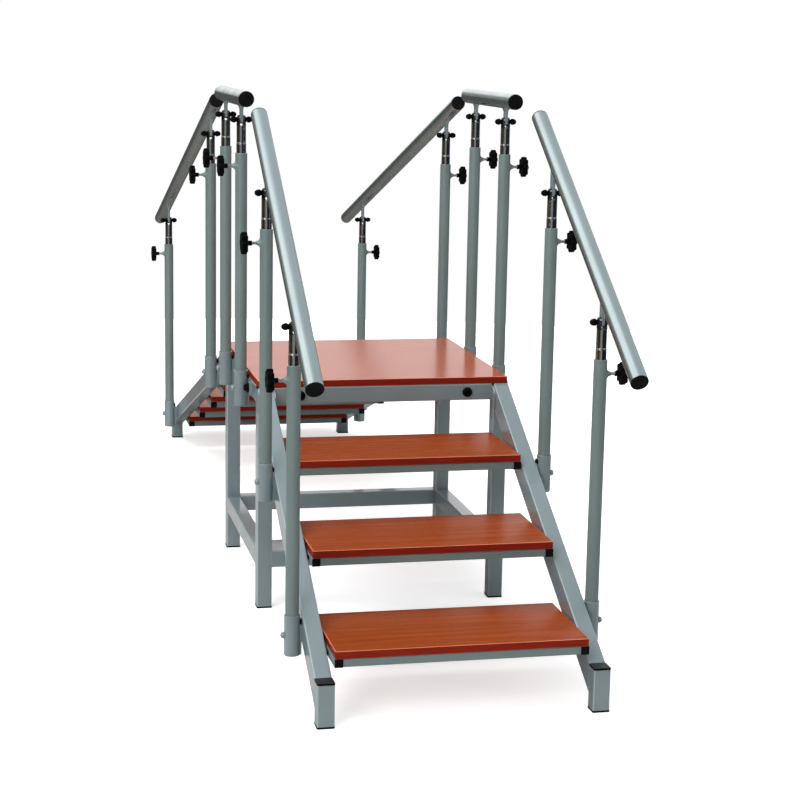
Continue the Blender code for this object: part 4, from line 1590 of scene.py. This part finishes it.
@dataclass
class ClampPost:
    """A telescoping post: outer tube with its boss, plated slide with a forked top, and knob.

    `pin` is the height of the slide's cross pin, from which the fork and the ring are measured;
    the knob's depth is measured from the outer tube's rim.
    """

    place: str
    hand: Hand
    y: float
    pin: float
    rail_body: str
    radius: float = 0.016
    bore: float = 0.0135
    slide_radius: float = 0.0130
    slide_below: float = 0.300
    fork_above: float = 0.012
    fork_below: float = 0.019
    fork_sunk: float = 0.002
    tongue: float = 0.008
    ring_below: float = 0.062
    knob_below: float = 0.034
    boss_reach: float = 0.0090
    knob_out: float = 0.020
    hub_length: float = 0.011
    knob_radius: float = 0.0275
    knob_thickness: float = 0.016
    lobes: int = 8
    wave: float = 0.15

    @property
    def x(self) -> float:
        """X of the post's axis."""
        return self.hand.value * PLAN.post_x

    @property
    def top(self) -> float:
        """Height of the outer tube's rim."""
        return self.pin - PLAN.pin_above_post

    @property
    def knob_axis(self) -> Spindle:
        """The clamp stud's axis."""
        return sideways(self.x, self.y, self.top - self.knob_below, self.hand.value)

    def name(self, what: str) -> str:
        """The name of one of this post's nodes."""
        return f"{self.place}_{what}_{self.hand.word}"

    def boss(self) -> Surface:
        """The hollow boss for the stud, turned about the stud and then seated on the round tube.

        A point at y to the side of the axis and x from the post's axis moves inward by
        (R - sqrt(R² - y²)) * w, so that the boss's foot lies in the tube's wall all round. The
        share w falls from 1 at the tube's face to 0 at the boss's tip.

        Returns:
            The closed skin.
        """
        inside, outside, r = 0.0042, 0.0128, self.radius
        foot, tip = self.bore + 0.0008, self.radius + self.boss_reach
        line = eased(
            [(inside, foot), (outside, foot), (outside, r - 0.0004), (0.0070, r + 0.0028),
             (0.0053, r + 0.0076), (0.0051, tip), (inside, tip)],
            (0.0002, 0.0002, 0.0004, 0.0036, 0.0020, 0.0003, 0.0003), 5, closed=True,
        )
        turned = self.knob_axis.turned(line, Around.HUB, looped=True)
        points = np.array(turned.points)
        x, y = self.hand.value * (points[:, 0] - self.x), points[:, 1] - self.y
        share = np.clip((tip - x) / self.boss_reach, 0.0, 1.0)
        points[:, 0] -= self.hand.value * share * (r - np.sqrt(r**2 - y**2))
        return Surface(points, turned.quads, turned.triangles)

    def outer_tube(self) -> Surface:
        """The outer tube, its wall's outline turned about the post's axis, and its boss.

        Returns:
            The two in one surface.
        """
        bottom, top, r, bore = self.top - PLAN.post_length, self.top, self.radius, self.bore
        wall = eased([(r, bottom), (r, top), (bore, top), (bore, bottom)], 0.0005, 4, closed=True)
        tube = upright(self.x, self.y).turned(wall, Around.POST, looped=True)
        return together([tube, self.boss()])

    def slide(self) -> tuple[Surface, Surface]:
        """The slide: a turned bar with a ring above the post, and the two arms of its fork.

        Each arm is a circle of the radius r(h) cut off by a chord at c(h). The chord follows the
        slot's round bottom, sqrt(p² - (p-h)²) up to the slot's half width p, and r closes in
        over the arm's rounded top.

        Returns:
            The bar and the two arms.
        """
        low, floor = self.top - self.slide_below, self.pin - self.fork_below + self.fork_sunk
        r, neck, ring = self.slide_radius, self.slide_radius - 0.0005, self.pin - self.ring_below
        groove = neck - 0.0004
        line = eased(
            [(0.0, low), (r, low), (r, ring - 0.0016), (groove, ring - 0.0010), (groove, ring - 0.0004),
             (r, ring), (r, ring + 0.0009), (neck, ring + 0.0014), (neck, floor), (0.0, floor)],
            (0.0010, 0.0003, 0.0002, 0.0002, 0.0003, 0.0003, 0.0003, 0.0001), 4,
        )
        turned = upright(self.x, self.y).turned(line, Around.POST)
        half = self.tongue / 2 + 0.0006
        tall = self.fork_below + self.fork_above - self.fork_sunk
        rounding, narrowing, steps = 0.0085, 0.0064, 8
        rise = np.concatenate([half * (1 - np.cos(np.linspace(0.0, QUARTER, steps - 1))), [tall * 0.5]])
        chord = np.sqrt(half**2 - np.maximum(half - rise, 0.0) ** 2)
        swing = np.linspace(0.0, QUARTER, steps)
        rise = np.concatenate([rise, tall - rounding * (1 - np.sin(swing))])
        chord = np.concatenate([chord, np.full(steps, half)])
        reach = np.concatenate([np.full(steps, neck), neck - narrowing * (1 - np.cos(swing))])
        turn = np.linspace(-1.0, 1.0, 19)[None] * np.arccos(np.clip(chord / reach, 0.0, 0.999))[:, None]
        rings = np.empty((len(rise), turn.shape[1], 3))
        rings[..., 0] = self.x + np.maximum(reach[:, None] * np.cos(turn), chord[:, None])
        rings[..., 1] = self.y + reach[:, None] * np.sin(turn)
        rings[..., 2] = (floor - 0.0002 + rise)[:, None]
        right = skin(rings)
        return turned, together([right, right.moved((-self.x, 0, 0)).mirrored().moved((self.x, 0, 0))])

    def pin_and_nuts(self) -> Surface:
        """The cross pin with a plastic cap at each end.

        A cap has a neck and a collar, then a dome whose radius is r·sqrt(1 - (h/d)²) at the
        height h of a dome d deep.

        Returns:
            The caps and the pin in one surface.
        """
        start = self.slide_radius - 0.0008
        reach = start + 0.0178
        collar, dome = 0.0084, 0.0100
        lift = np.linspace(0.0, QUARTER, 10)
        domed = np.stack([collar * 0.97 * np.cos(lift), reach - dome + dome * np.sin(lift)], -1)
        foot = eased(
            [(0.0, start - 0.002), (0.0064, start - 0.002), (0.0064, start + 0.0030),
             (collar, start + 0.0042), (collar, start + 0.0088), (collar * 0.97, reach - dome - 0.0002)],
            0.0006, 4,
        )
        line = np.concatenate([foot, domed])
        made = [sideways(self.x, self.y, self.pin, side).turned(line, Around.SCREW) for side in (-1, 1)]
        pin = eased([(0.0, -start), (0.0039, -start), (0.0039, start), (0.0, start)], 0.0002, 3)
        made.append(sideways(self.x, self.y, self.pin, 1).turned(pin, Around.PIN))
        return together(made)

    def knob(self) -> Surface:
        """The lobed grip and its hub.

        The grip's radius at the angle q is r(s)·(1 + a(s)·f(q)). With c the size of cos 8q, f is
        0.55·sqrt(c) + 0.45·c on the lobes and -sqrt(c) in the notches, so that the lobes are
        broad and the notches narrow, and a fades towards the middle of both faces.

        Returns:
            The grip, the hub and the grip's cap in one surface.
        """
        hub_start = self.radius + self.knob_out
        start = hub_start + self.hub_length
        end = start + self.knob_thickness
        big = self.knob_radius / (1.0 + self.wave)
        line = eased(
            [(0.0, start), (big * 0.42, start), (big * 0.50, start - 0.0004), (big * 0.93, start),
             (big, start + 0.0018), (big, end - 0.0024), (big * 0.92, end - 0.0002), (big * 0.50, end),
             (big * 0.42, end - 0.0016), (0.0, end - 0.0016)],
            (0.001, 0.001, 0.0018, 0.0018, 0.0024, 0.0024, 0.001, 0.001), 5,
        )
        beat = np.cos(self.lobes * Around.LOBES.turn())
        size, broad = np.abs(beat), 0.55
        lobe = np.where(beat > 0, broad * np.sqrt(size) + (1.0 - broad) * size, -np.sqrt(size))
        fade = np.clip((line[:, :1] / big - 0.45) / 0.5, 0.0, 1.0) ** 1.5
        hub = eased(
            [(0.0, hub_start), (0.0066, hub_start), (0.0060, hub_start + 0.004), (0.0068, start + 0.001),
             (0.0095, start + 0.002), (0.0, start + 0.002)],
            (0.0008, 0.003, 0.002, 0.0004), 5,
        )
        cap = eased(
            [(0.0, end - 0.0022), (0.0078, end - 0.0022), (0.0074, end - 0.0006), (0.0, end - 0.0002)],
            (0.0004, 0.0008), 4,
        )
        grip = self.knob_axis.turned(line, Around.LOBES, self.wave * fade * lobe[None])
        return together([grip, self.knob_axis.turned(hub), self.knob_axis.turned(cap)])

    def stud(self) -> Surface:
        """The clamp stud with its thread.

        The radius is r + a·cos(2πs/p) at the place s along it, with the pitch p.

        Returns:
            The closed skin.
        """
        pitch, middle, depth = 0.00125, 0.0037, 0.00025
        start, end = self.slide_radius + 0.0006, self.radius + self.knob_out + 0.0006
        place = np.arange(start, end, pitch / 4)
        radius = middle + depth * np.cos(place * 2 * math.pi / pitch)
        line = np.concatenate([[(0.0, start)], np.stack([radius, place], -1), [(0.0, end)]])
        return self.knob_axis.turned(line, Around.PIN)

    def build(self) -> None:
        """Makes the post's pieces."""
        post, slide, knob = self.name("post"), self.name("slide"), self.name("knob")
        # the tube's rim gets a lighter enamel, a painted highlight
        rimmed(piece(post + "_tube", self.outer_tube(), POST_ENAMEL, FRAME, (post,)), self.top - 0.001)
        turned, arms = self.slide()
        piece(slide + "_bar", turned, PLATING, self.rail_body, (slide,))
        # the fork's arms get a very dark chrome, painted shade
        piece(slide + "_fork", arms, FORK_SHADED_CHROME, self.rail_body, (slide,))
        piece(slide + "_nuts", self.pin_and_nuts(), GLOSSY, self.rail_body, (slide,))
        clamp = f"{self.place}_{self.hand.word}_clamp"
        piece(knob + "_grip", self.knob(), GLOSSY, clamp, (knob,))
        piece(knob + "_stud", self.stud(), ZINC, clamp, (knob,))


@dataclass
class Handrail:
    """A handrail tube on two posts, with its end caps and its two tongues."""

    label: str
    hand: Hand
    low: tuple[float, float]
    high: tuple[float, float]
    rises: tuple[float, float]
    posts: Sequence[ClampPost]
    radius: float = 0.02075
    tongue: float = 0.008
    tongue_width: float = 0.022
    fillet: float = 0.014
    weld_wide: float = 0.0034
    weld_thick: float = 0.0026
    cap: float = 0.0055

    @property
    def node(self) -> str:
        """The rail's node."""
        return f"{self.label}_rail_{self.hand.word}"

    def axis(self) -> tuple[Spindle, float]:
        """The tube's axis from its lower to its upper end.

        Returns:
            The axis and the tube's length.
        """
        x = self.hand.value * PLAN.post_x
        run = np.array([0.0, self.high[0] - self.low[0], self.high[1] - self.low[1]])
        length = float(np.linalg.norm(run))
        return Spindle((x, *self.low), tuple(run / length)), length

    def tube(self) -> Surface:
        """The rail's tube between its caps, its rims slightly rounded.

        Returns:
            The closed skin.
        """
        axis, length = self.axis()
        r, c = self.radius, self.cap
        line = eased([(0.0, c), (r, c), (r, length - c), (0.0, length - c)], 0.0009, 5)
        return axis.turned(line, Around.RAIL)

    def caps(self) -> Surface:
        """Two plastic caps: a flange as wide as the tube, then a low dome.

        Returns:
            The caps in one surface.
        """
        axis, length = self.axis()
        r, sunk = self.radius - 0.0001, self.cap + 0.0008
        line = eased(
            [(0.0, sunk), (r, sunk), (r, 0.0030), (r * 0.91, 0.0012), (r * 0.5, 0.0010), (0.0, 0.0008)],
            (0.0002, 0.0010, 0.0018, 0.0040), 5,
        )
        far = line * (1.0, -1.0) + (0.0, length)
        return together([axis.turned(line, Around.RAIL), axis.turned(far, Around.RAIL)])

    def tongues(self) -> Surface:
        """Flat tongues from the pins up into the rail.

        Each is a rounded rectangle carried up. Below the pin its width follows a half round,
        h·sin t at the height -h·cos t. Under the rail it grows by the power 2.5 of the height
        within the weld's fillet. It leans with the rail's slope by the square of the height.

        Returns:
            The two tongues in one surface.
        """
        made = []
        x, half, thin = self.hand.value * PLAN.post_x, self.tongue_width / 2, self.tongue / 2
        slope = (self.high[1] - self.low[1]) / (self.high[0] - self.low[0])
        swing = np.linspace(0.10, QUARTER, 12)
        for post, rise in zip(self.posts, self.rises):
            under = rise - self.radius * math.hypot(1.0, slope)
            weld = under - self.fillet * (1 - np.linspace(0.0, 1.0, 10))
            climb = np.concatenate([[0.004, under * 0.5], weld, [under + 0.006]])
            height = np.concatenate([-half * np.cos(swing), climb])
            grown = np.clip((height - under + self.fillet) / self.fillet, 0.0, 1.15) ** 2.5
            wide = np.concatenate([half * np.sin(swing), np.full(len(climb), half)]) + self.weld_wide * grown
            thick = thin + self.weld_thick * grown
            outline = rounded_rings(thick, wide, np.minimum(0.0014, wide * 0.9))
            rings = np.empty((*outline.shape[:2], 3))
            rings[..., 0] = x + outline[..., 0]
            rings[..., 1] = post.y + outline[..., 1]
            lean = slope * np.clip(height / under, 0.0, 1.0) ** 2
            rings[..., 2] = (post.pin + height)[:, None] + lean[:, None] * outline[..., 1]
            made.append(skin(rings))
        return together(made)

    def build(self) -> None:
        """Makes the rail's pieces."""
        body = f"{self.label}_{self.hand.word}_handrail"
        piece(self.node + "_tube", self.tube(), RAIL_ENAMEL, body, (self.node,))
        piece(self.node + "_caps", self.caps(), MOULDED, body, (self.node,))
        piece(self.node + "_tongues", self.tongues(), FRAME_ENAMEL, body, (self.node,))
        for post in self.posts:
            post.build()


# Studio


@dataclass(frozen=True)
class Lamp:
    """A square soft lamp, shown in mirrors or not."""

    name: str
    place: Point
    target: Point
    size: float
    power: float
    mirrored: bool = True

    def build(self) -> None:
        """Makes the lamp, facing its target."""
        data = bpy.data.lights.new(self.name, "AREA")
        data.shape = "SQUARE"
        data.size = self.size
        data.energy = self.power
        made = bpy.data.objects.new(self.name, data)
        made.visible_glossy = self.mirrored
        made.location = self.place
        ahead = Vector(self.target) - Vector(self.place)
        made.rotation_euler = ahead.to_track_quat("-Z", "Y").to_euler()
        bpy.context.scene.collection.objects.link(made)


LAMPS = (
    Lamp("key_lamp", (-6.0, -7.0, 5.0), (0.0, -0.4, 0.4), size=4.5, power=390.0),
    Lamp("top_lamp", (-1.6, -0.6, 5.2), (0.0, -0.3, 0.3), size=4.6, power=310.0, mirrored=False),
    Lamp("side_lamp", (4.2, -3.0, 2.4), (0.0, -0.2, 0.6), size=2.4, power=20.0),
)


@dataclass
class Studio:
    """White floor and backdrop, soft lamps, and the camera at the photograph's place.

    `ceiling`, `screens` and `ground` are what mirrors see above, round and below the stairs, each
    as (place, colour) stops round a full turn that starts and ends on the left.
    """

    camera_place: Point = (-1.055, -5.249 + MIDDLE, 1.511)
    yaw: float = 12.73
    pitch: float = 10.82
    roll: float = 1.07
    focal_pixels: float = 1920.0
    picture: float = 800.0
    centre: tuple[float, float] = (404.6, 404.2)
    floor_radius: float = 4.6
    floor_height: float = -0.0005
    floor_colour: Point = (0.86, 0.86, 0.86)
    floor_roughness: float = 0.9
    floor_glow: tuple[float, float] = (0.60, 1.0)
    floor_fade: tuple[float, float] = (2.8, 4.4)
    floor_mirrored: Point = (0.150, 0.142, 0.128)
    sheet_mirrored: Point = (0.42, 0.42, 0.41)
    sheet: tuple[float, float] = (1.5, 2.1)
    fill: float = 0.50
    screen_top: tuple[float, float] = (0.30, 0.55)
    horizon: tuple[float, float] = (0.030, 0.055)
    ceiling: Stops = (
        (0.00, (0.42, 0.46, 0.48)), (0.25, (0.36, 0.39, 0.40)), (0.50, (0.36, 0.40, 0.41)),
        (0.64, (0.48, 0.52, 0.53)), (0.80, (0.60, 0.63, 0.64)), (0.85, (0.76, 0.79, 0.79)),
        (0.89, (1.12, 1.16, 1.16)), (0.93, (0.98, 1.01, 1.01)), (1.00, (0.42, 0.46, 0.48)),
    )
    screens: Stops = (
        (0.00, (0.10, 0.085, 0.065)), (0.09, (0.07, 0.06, 0.045)), (0.13, (0.32, 0.32, 0.30)),
        (0.22, (0.40, 0.42, 0.42)), (0.27, (0.20, 0.22, 0.24)), (0.29, (0.020, 0.028, 0.045)),
        (0.50, (0.10, 0.12, 0.14)), (0.56, (0.42, 0.45, 0.46)), (0.67, (0.46, 0.49, 0.50)),
        (0.69, (1.0, 1.0, 1.0)), (0.765, (1.0, 1.0, 1.0)), (0.776, (0.19, 0.19, 0.18)),
        (0.92, (0.20, 0.19, 0.17)), (1.00, (0.10, 0.085, 0.065)),
    )
    ground: Stops = (
        (0.00, (0.035, 0.030, 0.020)), (0.10, (0.030, 0.025, 0.018)), (0.135, (0.20, 0.20, 0.17)),
        (0.19, (0.26, 0.28, 0.25)), (0.225, (0.40, 0.43, 0.41)), (0.250, (0.20, 0.22, 0.22)),
        (0.285, (0.012, 0.016, 0.035)), (0.50, (0.012, 0.016, 0.035)), (0.56, (0.085, 0.085, 0.08)),
        (0.84, (0.085, 0.085, 0.08)), (0.88, (0.05, 0.045, 0.035)), (0.95, (0.10, 0.09, 0.07)),
        (1.00, (0.035, 0.030, 0.020)),
    )

    def camera(self) -> None:
        """Makes the camera.

        It looks along the yaw from +Y to +X and down by the pitch, rolled about its own view,
        with a shift that puts the lens axis on the photograph's own centre.
        """
        yaw, pitch, roll = (math.radians(v) for v in (self.yaw, self.pitch, self.roll))
        ahead = np.array([math.sin(yaw) * math.cos(pitch), math.cos(yaw) * math.cos(pitch), -math.sin(pitch)])
        level = np.array([math.cos(yaw), -math.sin(yaw), 0.0])
        over = np.cross(level, ahead)
        right = level * math.cos(roll) + over * math.sin(roll)
        up = -level * math.sin(roll) + over * math.cos(roll)
        turn = Matrix([(right[i], up[i], -ahead[i]) for i in range(3)]).to_4x4()
        data = bpy.data.cameras.new("camera")
        data.sensor_width = 36.0
        data.lens = self.focal_pixels * data.sensor_width / self.picture
        data.shift_x = (self.picture / 2 - self.centre[0]) / self.picture
        data.shift_y = (self.centre[1] - self.picture / 2) / self.picture
        data.clip_start, data.clip_end = 0.05, 200.0
        made = bpy.data.objects.new("camera", data)
        made.matrix_world = Matrix.Translation(self.camera_place) @ turn
        bpy.context.scene.collection.objects.link(made)
        bpy.context.scene.camera = made

    def floor(self) -> None:
        """Makes a round white floor.

        The camera and glass see it lit by itself as well, so that it keeps the soft shadow near
        the stairs and runs into white further off. Mirrors see a pale sheet under the stairs, as
        the lamps light it, on a dark floor.
        """
        turn = Around.FLOOR.turn()
        height = np.full(len(turn), self.floor_height)
        rim = np.stack([self.floor_radius * np.cos(turn), self.floor_radius * np.sin(turn), height], -1)
        mesh = bpy.data.meshes.new("studio_floor")
        mesh.from_pydata(rim, [], [tuple(range(len(rim)))])
        made = bpy.data.objects.new("studio_floor", mesh)
        bpy.context.scene.collection.objects.link(made)
        paint = Recipe("studio_white")
        paint.base(self.floor_colour, self.floor_roughness, Specular_IOR_Level=0.0)
        paint.shader.inputs["Emission Color"].default_value = (1.0, 1.0, 1.0, 1.0)
        far = paint.node("ShaderNodeVectorMath", operation="LENGTH")
        paint.wire(paint.place, far.inputs[0])
        path = paint.node("ShaderNodeLightPath")
        clear = paint.maths("MAXIMUM", path.outputs["Is Camera Ray"], path.outputs["Is Transmission Ray"])
        glow = paint.span(far.outputs["Value"], *self.floor_glow, *self.floor_fade)
        paint.feed("Emission Strength", paint.maths("MULTIPLY", glow, clear))
        beyond = paint.span(far.outputs["Value"], 0.0, 1.0, *self.sheet)
        sheet, ground = paint.colour(self.sheet_mirrored), paint.colour(self.floor_mirrored)
        mirrored = paint.blend("MIX", beyond, sheet, ground)
        plain = paint.colour(self.floor_colour)
        paint.feed("Base Color", paint.blend("MIX", path.outputs["Is Glossy Ray"], plain, mirrored))
        mesh.materials.append(paint.material)

    def world(self) -> None:
        """Makes the world.

        It is white for the camera and for glass, and an even fill for matt surfaces. Mirrors see
        grey and dark screens with a white one, a pale ceiling, and the dim ground beyond the
        floor.
        """
        world = bpy.data.worlds.new("studio_world")
        bpy.context.scene.world = world
        world.use_nodes = True
        world.node_tree.nodes.clear()
        wiring = Wiring(world.node_tree)
        split = wiring.node("ShaderNodeSeparateXYZ")
        wiring.wire(wiring.node("ShaderNodeTexCoord").outputs["Generated"], split.inputs[0])
        turn = wiring.maths("ARCTAN2", split.outputs["Y"], split.outputs["X"])
        around = wiring.span(turn, 0.0, 1.0, -math.pi, math.pi)
        ceiling, screens, ground = (wiring.ramp(around, s) for s in (self.ceiling, self.screens, self.ground))
        over = wiring.span(split.outputs["Z"], 0.0, 1.0, *self.screen_top)
        above = wiring.blend("MIX", over, screens, ceiling)
        over_ground = wiring.span(split.outputs["Z"], 0.0, 1.0, *self.horizon)
        mirrored = wiring.blend("MIX", over_ground, ground, above)
        path = wiring.node("ShaderNodeLightPath")
        shown = None
        for strength, colour, ray in (
            (self.fill, None, None),
            (1.0, mirrored, "Is Glossy Ray"),
            (1.0, None, "Is Transmission Ray"),
            (1.0, None, "Is Camera Ray"),
        ):
            light = wiring.node("ShaderNodeBackground")
            light.inputs["Color"].default_value = (1.0, 1.0, 1.0, 1.0)
            light.inputs["Strength"].default_value = strength
            if colour is not None:
                wiring.wire(colour, light.inputs["Color"])
            if shown is None:
                shown = light.outputs[0]
                continue
            mix = wiring.node("ShaderNodeMixShader")
            wiring.wire(path.outputs[ray], mix.inputs["Fac"])
            wiring.wire(shown, mix.inputs[1])
            wiring.wire(light.outputs[0], mix.inputs[2])
            shown = mix.outputs[0]
        wiring.wire(shown, wiring.node("ShaderNodeOutputWorld").inputs["Surface"])

    def build(self) -> None:
        """Makes the studio."""
        bpy.context.scene.view_settings.view_transform = "Standard"
        self.camera()
        self.floor()
        self.world()
        for lamp in LAMPS:
            lamp.build()


# The whole


@dataclass(frozen=True)
class RailPlan:
    """Sizes of the two handrails of one flight, or of the platform.

    The posts, pins and rises are those of the lower and the upper post, or of the front and the
    rear one; a rise is the height of the rail's axis above the pin.
    """

    label: str
    places: tuple[str, str]
    posts: tuple[float, float]
    pins: tuple[float, float]
    rises: tuple[float, float]
    ends: tuple[float, float]

    def build(self) -> None:
        """Makes both handrails, each axis drawn straight through its two places above the pins."""
        heights = [pin + rise for pin, rise in zip(self.pins, self.rises)]
        climb = (heights[1] - heights[0]) / (self.posts[1] - self.posts[0])
        low, high = ((y, heights[0] + climb * (y - self.posts[0])) for y in self.ends)
        places = list(zip(self.places, self.posts, self.pins))
        for hand in Hand:
            body = f"{self.label}_{hand.word}_handrail"
            posts = [ClampPost(place, hand, y, pin, body) for place, y, pin in places]
            Handrail(self.label, hand, low, high, self.rises, posts).build()


FLIGHTS = (
    Flight(Way.FRONT, treads=3, going=0.300, posts=(0.708, 0.282), pins=(0.870, 1.134), foot_ahead=0.030,
           stringer_depth=0.060),
    Flight(Way.REAR, treads=5, going=0.335, posts=(1.457, 0.178), pins=(0.838, 1.218), foot_ahead=-0.060,
           stringer_depth=0.050),
)
RAILS = (
    RailPlan("front", ("front_lower", "front_upper"), posts=(-1.043, -0.617), pins=(0.870, 1.134),
             rises=(0.083, 0.096), ends=(-1.319, -0.481)),
    RailPlan("platform", ("platform_front", "platform_rear"), posts=(-0.160, 0.160), pins=(1.290, 1.290),
             rises=(0.056, 0.056), ends=(-0.259, 0.259)),
    RailPlan("rear", ("rear_lower", "rear_upper"), posts=(1.792, 0.513), pins=(0.838, 1.218),
             rises=(0.071, 0.062), ends=(2.120, 0.367)),
)


def main() -> None:
    """Builds the studio and every sub-assembly."""
    logging.basicConfig(level=logging.INFO, format="%(name)s: %(message)s")
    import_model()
    Studio().build()
    for assembly in (Platform(), *FLIGHTS, *RAILS):
        assembly.build()


if __name__ == "__main__":
    main()
